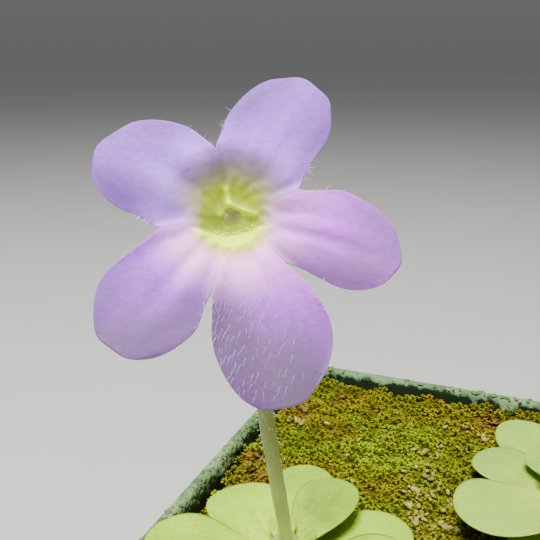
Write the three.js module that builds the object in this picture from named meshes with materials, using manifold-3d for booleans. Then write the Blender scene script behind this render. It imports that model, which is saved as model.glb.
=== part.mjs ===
// A flowering butterwort in a square plastic pot: two rosettes of fleshy leaves in a carpet of moss,
// and one five-lobed flower on a leaning scape. Millimetres, +Z up, origin on the pot's underside.
import * as THREE from "three";
import { mergeVertices } from "three/addons/utils/BufferGeometryUtils.js";
import Module from "manifold-3d";

const wasm = await Module();
wasm.setup();

// ---- driving dimensions, in millimetres and degrees ----
const GAP = 0.3; // air left between neighbouring pieces

const POT_WIDTH = 90; // across the lip
const POT_HEIGHT = 80;
const POT_BASE_WIDTH = 66;
const POT_WALL = 1.3;
const POT_FLOOR = 1.8;
const LIP_HEIGHT = 7;
const LIP_OVERHANG = 1.8;
const LIP_CORNER = 9; // corner radius at the lip
const BASE_CORNER = 6;
const DRAIN_SLOT = { length: 13, width: 5, offset: 24 };
const DRAIN_NOTCH_HEIGHT = 3.2;

const MOSS_LEVEL = POT_HEIGHT - 4;
const MOSS_DEPTH = 4;
const MOSS_MOUND = 1.5; // height of the mounds
const MOSS_BANK = { height: 1.7, start: 35, width: 6, clear: 25 }; // where it climbs by the walls
const CROWN_RADIUS = 2;
const CROWN_ROOT = 10; // how far the rooted stem goes down below the moss

const GOLDEN_ANGLE = 137.5;
const LEAF_PITCH = 0.42; // rise of the stem from one leaf to the next
// Each rosette: its axis, the heading of its first leaf, and its leaves from the oldest on, each with its
// reach from the axis, its width, and how far it strays from the golden angle.
const ROSETTES = [
  {
    name: "left",
    centre: [-21.9, -24.4],
    first: 46,
    leaves: [
      [22.5, 14, -1],
      [19, 12, 10],
      [22, 14, 0],
      [25, 12, 2],
      [21, 13.5, 4],
      [20.5, 13, -4],
      [19, 14, -8],
      [20, 13, 5],
      [19.5, 10.5, 12],
      [22, 12.5, 6],
      [16, 11, 0],
      [6.5, 4.6, 0],
      [6, 4.2, 0],
      [5.2, 3.4, 0],
    ],
  },
  {
    name: "right",
    centre: [18.6, 11.5],
    first: 115,
    leaves: [
      [26, 13.5, 0],
      [22, 14, 5],
      [22.5, 14, -4],
      [18, 13, -6],
      [21.5, 13, 2],
      [20, 13, -3],
      [26.5, 16.5, 15],
      [18, 12, 4],
      [10, 7, 0],
      [12, 8, 0],
      [7.5, 5, 3],
      [6, 4, 0],
    ],
  },
];

const SCAPE_RADIUS = 1.08;
const FLOWER_CENTRE = [-15.4, -55.8, 140.8];
const FACE_AZIMUTH = -66; // heading of the flower's face, from +X towards +Y
const FACE_ELEVATION = 20;

// Lobes of the corolla, seen from the front: heading of the midline from the viewer's right, reach from the
// centre, greatest width, where that width lies as a share of the reach, how late the side swells out to it,
// how far the tip sweeps to the left, and how far it bends back.
const LOBES = [
  { heading: 62, reach: 13.9, width: 8.7, widest: 0.65, swell: 0.6, sweep: -0.9, recurve: 0.5 },
  { heading: 148, reach: 13.3, width: 9.2, widest: 0.6, swell: 0.8, sweep: 1.3, recurve: 0.7 },
  { heading: 228, reach: 16.2, width: 9.4, widest: 0.66, swell: 1.9, sweep: -0.3, recurve: 1.0 },
  { heading: 289, reach: 18.3, width: 10.7, widest: 0.65, swell: 1.0, sweep: -0.7, recurve: 2.2 },
  { heading: 348, reach: 15.9, width: 8.4, widest: 0.65, swell: 2.0, sweep: -1.1, recurve: 1.2 },
];
// Clefts between a lobe and the next one: heading and distance from the centre.
const CLEFTS = [
  { heading: 102, reach: 5.7 },
  { heading: 192, reach: 6.4 },
  { heading: 257, reach: 7.0 },
  { heading: 316, reach: 6.4 },
  { heading: 18.5, reach: 6.3 },
];
const PETAL_THICKNESS = 0.6;
const THROAT_RADIUS = 3.2; // where the coloured funnel begins
const THROAT_DEPTH = 0.9; // how far that ring lies behind the lobes
const LIMB_FLAT_RADIUS = 7; // where the funnel has opened out flat
const TUBE_RADIUS = 1.6; // inside the tube
// Inner wall of the funnel and the tube, from the throat back to the hole for the ovary: radius, depth.
const TUBE_PROFILE = [
  [2.5, 1.35],
  [1.9, 2.05],
  [1.5, 2.9],
  [TUBE_RADIUS, 4.2],
  [TUBE_RADIUS, 6.2],
  [1.35, 7.1],
  [0.95, 7.6],
];
const SPUR_HEADING = 281; // the flower's own downward direction, seen from the front
const SPUR_LENGTH = 9;
const SPUR_RADIUS = 0.85; // at its root
const CALYX_BACK = 8.9; // depth of the calyx cup's back face
const CALYX_WALL = 0.6;
const SEPALS = [-132, -62, 0, 62, 132]; // headings of the sepals from the side away from the spur

const DEG = Math.PI / 180;
const polar = (radius, degrees) => [radius * Math.cos(degrees * DEG), radius * Math.sin(degrees * DEG)];
const distance = ([ax, ay], [bx, by]) => Math.hypot(ax - bx, ay - by);
const mix = (a, b, t) => a + (b - a) * t;
const clamp01 = (t) => Math.min(1, Math.max(0, t));
const smooth = (t) => clamp01(t) * clamp01(t) * (3 - 2 * clamp01(t));

// ---- solids ----

// A closed mesh from points and triangles.
function meshOf(points, triangles) {
  const positions = new Float32Array(points.flatMap((p) => [p.x, p.y, p.z]));
  return new THREE.BufferGeometry()
    .setAttribute("position", new THREE.BufferAttribute(positions, 3))
    .setIndex(triangles.flat());
}

function solidOf(geometry) {
  const bare = geometry.clone();
  bare.deleteAttribute("normal");
  bare.deleteAttribute("uv");
  const merged = mergeVertices(bare, 1e-4);
  return new wasm.Manifold(
    new wasm.Mesh({
      numProp: 3,
      vertProperties: merged.attributes.position.array,
      triVerts: new Uint32Array(merged.index.array),
    }),
  );
}

function geometryOf(solid) {
  const mesh = solid.getMesh();
  return new THREE.BufferGeometry()
    .setAttribute("position", new THREE.BufferAttribute(mesh.vertProperties.slice(), 3))
    .setIndex(new THREE.BufferAttribute(mesh.triVerts.slice(), 1));
}

// Joins the first geometry with the others into one body.
const joined = (first, ...others) =>
  geometryOf(others.reduce((solid, other) => solid.add(solidOf(other)), solidOf(first)));

// Cuts the others out of the first.
const cut = (first, ...others) =>
  geometryOf(others.reduce((solid, other) => solid.subtract(solidOf(other)), solidOf(first)));

// A closed body through rings of the same number of points, from the lowest ring outwards and up.
function loft(rings) {
  const count = rings[0].length;
  const points = rings.flat();
  const triangles = [];
  for (let i = 0; i + 1 < rings.length; i++)
    for (let j = 0; j < count; j++) {
      const a = i * count + j;
      const b = i * count + ((j + 1) % count);
      triangles.push([a, b, b + count], [a, b + count, a + count]);
    }
  const centreOf = (ring) => ring.reduce((sum, p) => sum.add(p), new THREE.Vector3()).divideScalar(count);
  const bottom = points.push(centreOf(rings[0])) - 1;
  const top = points.push(centreOf(rings[rings.length - 1])) - 1;
  const last = (rings.length - 1) * count;
  for (let j = 0; j < count; j++) {
    const next = (j + 1) % count;
    triangles.push([bottom, next, j], [top, last + j, last + next]);
  }
  return meshOf(points, triangles);
}

// A sheet of points and triangles, seen from its front, made into a closed body by backing it.
function thickSheet(points, triangles, thicknessAt) {
  const surface = meshOf(points, triangles);
  surface.computeVertexNormals();
  const normal = surface.attributes.normal;
  const backs = points.map((p, i) =>
    p.clone().addScaledVector(new THREE.Vector3().fromBufferAttribute(normal, i), -thicknessAt(i)),
  );
  const n = points.length;
  const edges = new Set(triangles.flatMap(([a, b, c]) => [a * n + b, b * n + c, c * n + a]));
  const walls = [];
  for (const edge of edges) {
    const a = Math.floor(edge / n);
    const b = edge % n;
    if (!edges.has(b * n + a)) walls.push([a, a + n, b + n], [a, b + n, b]);
  }
  const reversed = triangles.map(([a, b, c]) => [c + n, b + n, a + n]);
  return meshOf([...points, ...backs], [...triangles, ...reversed, ...walls]);
}

// A rod of round section along a curve.
function rod(curve, radius, steps, sides) {
  const section = new THREE.Shape().absarc(0, 0, radius, 0, 2 * Math.PI);
  return new THREE.ExtrudeGeometry(section, {
    steps,
    curveSegments: sides / 2, // an arc takes twice this number of points
    extrudePath: curve,
  });
}

// A body turned about +Z from a profile of [radius, height] pairs that starts and ends on the axis.
function turned(profile, sides) {
  const lathe = new THREE.LatheGeometry(
    profile.map(([r, z]) => new THREE.Vector2(r, z)),
    sides,
  );
  return lathe.rotateX(Math.PI / 2);
}

// ---- blades: leaves, sepals and the lobes of the corolla ----

const WIDEST_ROW = 0.62; // share of the rows that lie below the widest place
const TIP_CORNER = 48; // where the sides hand over to the tip, in degrees round the end's ellipse

// A point on the outline's side, in the plane of the blade: x along the midline, y to the side.
function bladeSide(shape, u, start) {
  const end = shape.length - shape.widestAt;
  if (u < WIDEST_ROW) {
    const share = u / WIDEST_ROW;
    const rise = Math.pow(Math.sin(share * 90 * DEG), shape.swell);
    return [mix(start[0], shape.widestAt, share), mix(start[1], shape.width / 2, rise)];
  }
  const turn = ((u - WIDEST_ROW) / (1 - WIDEST_ROW)) * TIP_CORNER * DEG;
  return [shape.widestAt + end * Math.sin(turn), (shape.width / 2) * Math.cos(turn)];
}

function bladeTip(shape, v) {
  const turn = (90 - (90 - TIP_CORNER) * Math.abs(v)) * DEG;
  const end = shape.length - shape.widestAt;
  return [shape.widestAt + end * Math.sin(turn), Math.sign(v) * (shape.width / 2) * Math.cos(turn)];
}

// Fills a four-sided patch from its edges: u runs along the blade and v, from -1 to 1, across it.
function patchPoint(u, v, base, tip, side) {
  const s = (v + 1) / 2;
  return [0, 1].map((k) => {
    const ends = mix(base(v)[k], tip(v)[k], u);
    const sides = mix(side(u, -1)[k], side(u, 1)[k], s);
    const corners = mix(mix(base(-1)[k], base(1)[k], s), mix(tip(-1)[k], tip(1)[k], s), u);
    return ends + sides - corners;
  });
}

function gridTriangles(rows, columns, indexOf) {
  const triangles = [];
  for (let i = 0; i < rows; i++)
    for (let j = 0; j < columns; j++) {
      const [a, b] = [indexOf(i, j), indexOf(i + 1, j)];
      const [c, d] = [indexOf(i + 1, j + 1), indexOf(i, j + 1)];
      triangles.push([a, b, c], [a, c, d]);
    }
  return triangles;
}

// A plain blade with a straight base, bent by the function that places its points.
function blade(shape, rows, columns, place, thicknessAt) {
  const points = [];
  const spots = [];
  const start = [0, shape.baseWidth / 2];
  for (let i = 0; i <= rows; i++)
    for (let j = 0; j <= columns; j++) {
      const [u, v] = [i / rows, (2 * j) / columns - 1];
      const [x, y] = patchPoint(
        u,
        v,
        (w) => [0, w * start[1]],
        (w) => bladeTip(shape, w),
        (w, sign) => {
          const [along, across] = bladeSide(shape, w, start);
          return [along, sign * across];
        },
      );
      spots.push([u, v]);
      points.push(place(x, y));
    }
  const indexOf = (i, j) => i * (columns + 1) + j;
  return thickSheet(points, gridTriangles(rows, columns, indexOf), (i) => thicknessAt(...spots[i]));
}

// ---- the pot, its potting mix and the moss ----

// Points round a square with rounded corners, counter-clockwise from above.
function squareRing(halfWidth, corner, z, sideSteps = 1, cornerSteps = 4) {
  const points = [];
  const reach = halfWidth - corner;
  const centres = [[1, 1], [-1, 1], [-1, -1], [1, -1]];
  centres.forEach(([sx, sy], quarter) => {
    for (let i = 0; i <= cornerSteps; i++) {
      const [x, y] = polar(corner, 90 * (quarter + i / cornerSteps));
      points.push(new THREE.Vector3(reach * sx + x, reach * sy + y, z));
    }
    const last = points[points.length - 1];
    const [nx, ny] = centres[(quarter + 1) % 4];
    const [x, y] = polar(corner, 90 * (quarter + 1));
    const next = new THREE.Vector3(reach * nx + x, reach * ny + y, z);
    for (let i = 1; i < sideSteps; i++) points.push(last.clone().lerp(next, i / sideSteps));
  });
  return points;
}

const LIP_FOOT = POT_HEIGHT - LIP_HEIGHT;
const WALL_TOP_HALF = POT_WIDTH / 2 - LIP_OVERHANG;

// Half-width and corner radius of the pot's outer wall at a height, below the lip.
function wallAt(z) {
  const share = z / LIP_FOOT;
  return [mix(POT_BASE_WIDTH / 2, WALL_TOP_HALF, share), mix(BASE_CORNER, LIP_CORNER - LIP_OVERHANG, share)];
}

// The same for the inside of the wall, set in by a clearance.
function insideAt(z, clearance = 0) {
  const [half, corner] = wallAt(z);
  const inset = POT_WALL + clearance;
  return [half - inset, corner - inset];
}

function potGeometry() {
  const round = 0.7; // rounding of the lip's edges
  const ease = 1; // bevel of the foot, and slope under the lip
  const grown = ([half, corner], by, z) => squareRing(half + by, corner + by, z);
  const lip = [POT_WIDTH / 2, LIP_CORNER];
  const shell = loft([
    grown(wallAt(0), -ease, 0),
    grown(wallAt(ease), 0, ease),
    grown(wallAt(LIP_FOOT - ease), 0, LIP_FOOT - ease),
    grown(lip, -round, LIP_FOOT),
    grown(lip, 0, LIP_FOOT + ease),
    grown(lip, 0, POT_HEIGHT - round),
    grown(lip, -round * 0.3, POT_HEIGHT - round * 0.3),
    grown(lip, -round, POT_HEIGHT),
    grown(insideAt(POT_HEIGHT), round, POT_HEIGHT),
    grown(insideAt(POT_HEIGHT), 0, POT_HEIGHT - round),
    grown(insideAt(POT_FLOOR + ease), 0, POT_FLOOR + ease),
    grown(insideAt(POT_FLOOR), -ease, POT_FLOOR),
  ]);
  return cut(shell, ...drainCutters());
}

// For each side, a slot through the floor and a notch in the foot that lets the water out.
function drainCutters() {
  const { length, width, offset } = DRAIN_SLOT;
  const straight = (length - width) / 2;
  const slot = new THREE.Shape()
    .absarc(straight, 0, width / 2, -Math.PI / 2, Math.PI / 2)
    .absarc(-straight, 0, width / 2, Math.PI / 2, (3 * Math.PI) / 2);
  const depth = 3 * POT_FLOOR;
  return [0, 90, 180, 270].flatMap((turn) => {
    const through = new THREE.ExtrudeGeometry(slot, { depth, bevelEnabled: false, curveSegments: 4 });
    through.translate(0, offset, -POT_FLOOR);
    const notch = new THREE.BoxGeometry(length - width, width * 2, 2 * DRAIN_NOTCH_HEIGHT);
    notch.translate(0, POT_BASE_WIDTH / 2, 0);
    return [through.rotateZ(turn * DEG), notch.rotateZ(turn * DEG)];
  });
}

const MIX_TOP = MOSS_LEVEL - MOSS_DEPTH;
const CROWN_FOOT = MOSS_LEVEL - CROWN_ROOT;

// The plain holes that the rosettes' stems stand in, from below their feet up through the moss.
const stemHoles = () =>
  ROSETTES.map(({ centre: [x, y] }) => {
    const height = 2 * CROWN_ROOT;
    const hole = new THREE.CylinderGeometry(CROWN_RADIUS + GAP, CROWN_RADIUS + GAP, height, 12);
    return hole.rotateX(Math.PI / 2).translate(x, y, CROWN_FOOT - GAP + height / 2);
  });

function pottingMixGeometry() {
  const bottom = POT_FLOOR + GAP;
  const ease = 1.2; // bevel of the block's foot
  const [footHalf, footCorner] = insideAt(bottom, GAP + ease);
  const body = loft([
    squareRing(footHalf, footCorner, bottom),
    squareRing(...insideAt(bottom + ease, GAP), bottom + ease),
    squareRing(...insideAt(MIX_TOP, GAP), MIX_TOP),
  ]);
  return cut(body, ...stemHoles());
}

// Height of the moss above or below its level: rolling mounds, calm under the rosettes, and a bank that
// climbs by the walls where no rosette lies over it.
function mossRelief(x, y) {
  const [warpX, warpY] = [1.3 * Math.sin(y * 0.17), 0.9 * Math.sin(x * 0.21 + 2)];
  const broad = Math.sin(x * 0.31 + warpX) * Math.cos(y * 0.27 + warpY);
  const small = Math.sin(x * 0.83 + y * 0.4 + 0.5) * Math.cos(y * 0.71 - x * 0.23);
  const away = Math.min(...ROSETTES.map(({ centre }) => distance([x, y], centre)));
  const { height, start, width, clear } = MOSS_BANK;
  const climb = smooth((Math.max(Math.abs(x), Math.abs(y)) - start) / width) * smooth((away - clear) / 4);
  return MOSS_MOUND * mix(-0.55, 0.62 * broad + 0.28 * small, smooth((away - 9) / 12)) + height * climb;
}

function mossGeometry() {
  const bottom = MIX_TOP + GAP;
  const sideSteps = 8;
  const shares = [1, 0.96, 0.9, 0.8, 0.7, 0.6, 0.5, 0.4, 0.3, 0.2, 0.1]; // rings from the wall inwards
  const shoulder = 1; // how far the carpet rounds down where it meets the wall
  const [topHalf, topCorner] = insideAt(MOSS_LEVEL - shoulder, GAP);
  const stack = [squareRing(...insideAt(bottom, GAP), bottom, sideSteps)];
  for (const share of shares) {
    const ring = squareRing(topHalf * share, Math.max(topCorner * share, 0.4), MOSS_LEVEL, sideSteps);
    for (const p of ring) p.z += mossRelief(p.x, p.y) - (share === 1 ? shoulder : 0);
    stack.push(ring);
  }
  return cut(loft(stack), ...stemHoles());
}

// ---- rosettes ----

const FIRST_LEAF_Z = MOSS_LEVEL + 0.5;
const LEAF_BASE_RADIUS = CROWN_RADIUS + GAP;

const crownTop = (rosette) => FIRST_LEAF_Z + LEAF_PITCH * (rosette.leaves.length - 1) + 0.9;

// The short stem in the middle of a rosette, pointed below where it is rooted.
function crownGeometry(rosette) {
  const top = crownTop(rosette);
  const profile = [
    [0, CROWN_FOOT],
    [CROWN_RADIUS * 0.35, CROWN_FOOT + 0.4],
    [CROWN_RADIUS * 0.7, CROWN_FOOT + 3.5],
    [CROWN_RADIUS, CROWN_FOOT + 7],
    [CROWN_RADIUS, top - 0.8],
    [CROWN_RADIUS - 0.7, top],
    [0, top],
  ];
  return turned(profile, 12);
}

// A fleshy leaf, its midrib in the XZ plane, rising from the stem and levelling out. Age 1 is the youngest.
function leafGeometry(reach, width, age) {
  const length = reach - LEAF_BASE_RADIUS;
  const shape = { length, width, baseWidth: 2.7, widestAt: length * 0.62, swell: 1.6 };
  const rise = mix(15, 34, Math.pow(age, 4)); // climb of the midrib at the stem, in degrees
  const fall = mix(2, 24, Math.pow(age, 5)); // and at the tip
  const steps = 24;
  const midrib = [[0, 0]];
  for (let i = 1; i <= steps; i++) {
    const climb = mix(rise, fall, Math.pow((i - 0.5) / steps, 0.8)) * DEG;
    const [r, z] = midrib[i - 1];
    midrib.push([r + (length / steps) * Math.cos(climb), z + (length / steps) * Math.sin(climb)]);
  }
  const place = (x, y) => {
    const spot = clamp01(x / length) * steps;
    const i = Math.min(steps - 1, Math.floor(spot));
    const [r, z] = [0, 1].map((k) => mix(midrib[i][k], midrib[i + 1][k], spot - i));
    const climb = Math.atan2(midrib[i + 1][1] - midrib[i][1], midrib[i + 1][0] - midrib[i][0]);
    const across = Math.abs(y) / (width / 2);
    const trough = mix(0.01, 0.12, age) * width * Math.pow(across, 2.4);
    return new THREE.Vector3(r - trough * Math.sin(climb), y, z + trough * Math.cos(climb));
  };
  const thickness = (u, v) => mix(1, 0.6, Math.max(Math.pow(Math.abs(v), 2), Math.pow(u, 6)));
  const [rows, columns] = width > 8 ? [8, 6] : [6, 4];
  return blade(shape, rows, columns, place, thickness);
}

// ---- flower ----

const lobeBefore = (i) => (i + LOBES.length - 1) % LOBES.length;
const heading = (degrees, near) => degrees + 360 * Math.round((near - degrees) / 360);

// Depth of the limb behind the lobes' plane, and how a lobe bends along and across its midline.
function limbDepth(lobe, along, across, radius) {
  const open = clamp01((radius - THROAT_RADIUS) / (LIMB_FLAT_RADIUS - THROAT_RADIUS));
  const out = clamp01((along - THROAT_RADIUS) / (lobe.reach - THROAT_RADIUS));
  const side = across / (lobe.width / 2);
  const arch = 0.55 * side * side * smooth(out * 1.6);
  return THROAT_DEPTH * (1 - open) * (1 - open) + lobe.recurve * Math.pow(out, 2.5) + arch;
}

// The whole corolla is one sheet: a tube that opens into a funnel and splits at the clefts into lobes.
function corollaGeometry() {
  const [rows, columns, sharedRows] = [10, 6, 3];
  const points = [];
  const spotOf = new Map();
  const add = (key, makePoint) => {
    if (!spotOf.has(key)) spotOf.set(key, points.push(makePoint()) - 1);
    return spotOf.get(key);
  };
  const triangles = [];
  LOBES.forEach((lobe, i) => {
    const clefts = [CLEFTS[lobeBefore(i)], CLEFTS[i]].map((cleft) => ({
      turn: heading(cleft.heading, lobe.heading) - lobe.heading,
      reach: cleft.reach,
    }));
    const shape = {
      length: lobe.reach,
      width: lobe.width,
      widestAt: lobe.reach * lobe.widest,
      swell: lobe.swell,
    };
    const splitAt = sharedRows / rows;
    const side = (u, sign) => {
      const cleft = clefts[sign < 0 ? 0 : 1];
      const split = polar(cleft.reach, cleft.turn);
      if (u <= splitAt) return polar(mix(THROAT_RADIUS, cleft.reach, u / splitAt), cleft.turn);
      const [x, y] = bladeSide(shape, (u - splitAt) / (1 - splitAt), [split[0], Math.abs(split[1])]);
      return [x, sign * y];
    };
    const ringTurn = (v) => mix(clefts[0].turn, clefts[1].turn, (v + 1) / 2);
    const base = (v) => polar(THROAT_RADIUS, ringTurn(v));
    const tip = (v) => bladeTip(shape, v);
    const toFlower = (x, y, depth) => {
      const [c, s] = polar(1, lobe.heading);
      return new THREE.Vector3(x * c - y * s, x * s + y * c, -depth);
    };
    const ringKey = (row, j) => `${row}:${(i * columns + j) % (LOBES.length * columns)}`;
    const tubeIndex = (row, j) =>
      add(ringKey(row, j), () => {
        const [radius, depth] = TUBE_PROFILE[TUBE_PROFILE.length - 1 - row];
        return toFlower(...polar(radius, ringTurn((2 * j) / columns - 1)), depth);
      });
    const limbIndex = (row, j) => {
      const shared = row <= sharedRows && (j === 0 || j === columns);
      const key = row === 0 || shared ? ringKey(TUBE_PROFILE.length + row, j) : `lobe ${i}:${row}:${j}`;
      return add(key, () => {
        const [u, v] = [row / rows, (2 * j) / columns - 1];
        const [x, y] = patchPoint(u, v, base, tip, side);
        const beyond = clamp01((x - LIMB_FLAT_RADIUS) / (lobe.reach - LIMB_FLAT_RADIUS));
        const swept = y + lobe.sweep * Math.pow(beyond, 1.5);
        return toFlower(x, swept, limbDepth(lobe, x, y, Math.hypot(x, y)));
      });
    };
    const depthRows = TUBE_PROFILE.length;
    const indexOf = (row, j) => (row < depthRows ? tubeIndex(row, j) : limbIndex(row - depthRows, j));
    triangles.push(...gridTriangles(depthRows + rows, columns, indexOf));
  });
  const sheet = thickSheet(points, triangles, () => PETAL_THICKNESS);
  return joined(sheet, spurGeometry());
}

// The spur, a slender horn that runs back and down from the tube.
function spurGeometry() {
  const wall = TUBE_RADIUS + PETAL_THICKNESS;
  const at = (out, depth) => new THREE.Vector3(...polar(wall + out, SPUR_HEADING), -depth);
  const path = new THREE.CatmullRomCurve3([
    at(-0.4, 3.5),
    at(SPUR_LENGTH * 0.11, 4.4),
    at(SPUR_LENGTH * 0.36, 7),
    at(SPUR_LENGTH * 0.56, 10.3),
    at(SPUR_LENGTH * 0.62, 13.4),
  ]);
  const rings = [];
  const [steps, sides] = [9, 8];
  const frames = path.computeFrenetFrames(steps, false);
  for (let i = 0; i <= steps; i++) {
    const share = i / steps;
    const radius = SPUR_RADIUS * (share < 1 ? mix(1, 0.6, share) : 0.3);
    const centre = path.getPointAt(share);
    rings.push(
      Array.from({ length: sides }, (_, j) => {
        const [c, s] = polar(radius, (360 * j) / sides);
        return centre.clone().addScaledVector(frames.normals[i], c).addScaledVector(frames.binormals[i], s);
      }),
    );
  }
  return loft(rings);
}

// A shallow green cup round the foot of the tube, with five pointed sepals.
function calyxGeometry() {
  const rim = -CALYX_BACK + 2.1;
  const cup = turned(
    [
      [0, -CALYX_BACK],
      [1.5, -CALYX_BACK],
      [2.6, -CALYX_BACK + 0.7],
      [3.25, rim],
      [3.25 - CALYX_WALL, rim],
      [2.2, -CALYX_BACK + CALYX_WALL + 0.15],
      [0, -CALYX_BACK + CALYX_WALL],
    ],
    20,
  );
  const shape = { length: 4, width: 1.9, baseWidth: 1.7, widestAt: 1.3, swell: 1 };
  const place = (x, y) => new THREE.Vector3(2.7 + 0.4 * x, y, rim - CALYX_WALL + 0.9 * x);
  const sepals = SEPALS.map((turn) => {
    const sepal = blade(shape, 5, 2, place, () => CALYX_WALL);
    return sepal.rotateZ((SPUR_HEADING - 180 + turn) * DEG);
  });
  return joined(cup, ...sepals);
}

// Ovary, style and the flap of the stigma that stands in the throat.
function pistilGeometry() {
  const back = -CALYX_BACK + CALYX_WALL + GAP;
  const styleRadius = 0.32;
  const styleTop = -3.3;
  const profile = [
    [0, back],
    [0.5, back],
    [0.65, back + 0.6],
    [0.6, back + 1.6],
    [styleRadius, back + 2.3],
    [styleRadius, styleTop],
    [0, styleTop],
  ];
  const shape = { length: 2.2, width: 1.9, baseWidth: 0.8, widestAt: 1.2, swell: 1 };
  const place = (x, y) => new THREE.Vector3(y, 0.75 - 0.7 * x, styleTop + 0.1 + 0.5 * x - 0.16 * y * y);
  const flap = blade(shape, 4, 4, place, () => 0.6);
  return joined(turned(profile, 10), flap.rotateZ((SPUR_HEADING - 270) * DEG));
}

// A filament that curves up from the foot of the tube, with its anther under the stigma.
function stamenGeometry(side) {
  const path = new THREE.CatmullRomCurve3([
    new THREE.Vector3(side * 0.8, -0.5, -6.2),
    new THREE.Vector3(side * 0.85, -0.6, -5.4),
    new THREE.Vector3(side * 0.75, -0.65, -4.4),
  ]);
  const anther = new THREE.SphereGeometry(0.36, 8, 5).translate(side * 0.73, -0.66, -4.2);
  const stamen = joined(rod(path, 0.25, 4, 6), anther);
  return stamen.rotateZ((SPUR_HEADING - 270) * DEG);
}

// ---- assembly ----

const materialOf = (color, roughness) => new THREE.MeshStandardMaterial({ color, roughness, metalness: 0 });
const MATERIALS = {
  pot: materialOf(0x2f5a50, 0.55),
  mix: materialOf(0x4a3826, 0.95),
  moss: materialOf(0x7f8416, 0.9),
  stem: materialOf(0xa9b36a, 0.6),
  leaf: materialOf(0xbfd08a, 0.4),
  scape: materialOf(0x9aa062, 0.5),
  calyx: materialOf(0x8c9a50, 0.55),
  petal: materialOf(0xc6b2e0, 0.6),
  pistil: materialOf(0xb4bd78, 0.5),
  stamen: materialOf(0xe6dfa8, 0.6),
};

function node(name, geometry, material) {
  const mesh = new THREE.Mesh(geometry, material);
  mesh.name = name;
  return mesh;
}

const plant = new THREE.Group();
plant.add(node("pot", potGeometry(), MATERIALS.pot));
plant.add(node("potting_mix", pottingMixGeometry(), MATERIALS.mix));
plant.add(node("moss_carpet", mossGeometry(), MATERIALS.moss));

for (const rosette of ROSETTES) {
  const group = new THREE.Group();
  group.position.set(rosette.centre[0], rosette.centre[1], 0);
  group.add(node(`${rosette.name}_crown`, crownGeometry(rosette), MATERIALS.stem));
  rosette.leaves.forEach(([reach, width, stray], i) => {
    const geometry = leafGeometry(reach, width, i / (rosette.leaves.length - 1));
    const leaf = node(`${rosette.name}_leaf_${String(i + 1).padStart(2, "0")}`, geometry, MATERIALS.leaf);
    const azimuth = rosette.first + i * GOLDEN_ANGLE + stray;
    const [x, y] = polar(LEAF_BASE_RADIUS, azimuth);
    leaf.rotation.z = azimuth * DEG;
    leaf.position.set(x, y, FIRST_LEAF_Z + i * LEAF_PITCH);
    group.add(leaf);
  });
  plant.add(group);
}

// The flower's own frame: +Z out of its face, +Y up, +X to the right of someone looking into it.
const [level, climb] = polar(1, FACE_ELEVATION);
const face = new THREE.Vector3(...polar(level, FACE_AZIMUTH), climb);
const faceRight = new THREE.Vector3(0, 0, 1).cross(face).normalize();
const faceUp = face.clone().cross(faceRight);
const flower = new THREE.Group();
flower.position.set(...FLOWER_CENTRE);
flower.quaternion.setFromRotationMatrix(new THREE.Matrix4().makeBasis(faceRight, faceUp, face));
flower.add(node("corolla", corollaGeometry(), MATERIALS.petal));
flower.add(node("calyx", calyxGeometry(), MATERIALS.calyx));
flower.add(node("pistil", pistilGeometry(), MATERIALS.pistil));
flower.add(node("stamen_left", stamenGeometry(-1), MATERIALS.stamen));
flower.add(node("stamen_right", stamenGeometry(1), MATERIALS.stamen));
plant.add(flower);

// The scape rises from the left crown, leans out over the pot's edge and nods at the top behind the flower.
function scapeGeometry() {
  const rosette = ROSETTES[0];
  const foot = new THREE.Vector3(...rosette.centre, crownTop(rosette) + GAP + SCAPE_RADIUS / 2);
  const behind = (depth) => face.clone().multiplyScalar(-depth).add(flower.position);
  const top = behind(CALYX_BACK + 1.6 * GAP);
  const nod = behind(CALYX_BACK + 5.5);
  const along = (share) => foot.clone().lerp(nod, share);
  const bend = new THREE.QuadraticBezierCurve3(along(0.9), nod, top);
  const points = [foot, along(0.3), along(0.6), ...bend.getPoints(4)];
  const path = new THREE.CatmullRomCurve3(points, false, "centripetal");
  return rod(path, SCAPE_RADIUS, 36, 10);
}
plant.add(node("scape", scapeGeometry(), MATERIALS.scape));

export default plant;
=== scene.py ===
# %% [markdown]
# # A flowering butterwort in a square pot
# A butterwort is a small plant with fleshy, sticky leaves that lie in rosettes on wet moss. This one lifts
# a single lilac flower on a thin stalk. The solids of the plant and its pot come in first as a fixed frame,
# and each cell below lays one finer piece over them: petals, hairs, leaves, moss, pot and lime.

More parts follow.
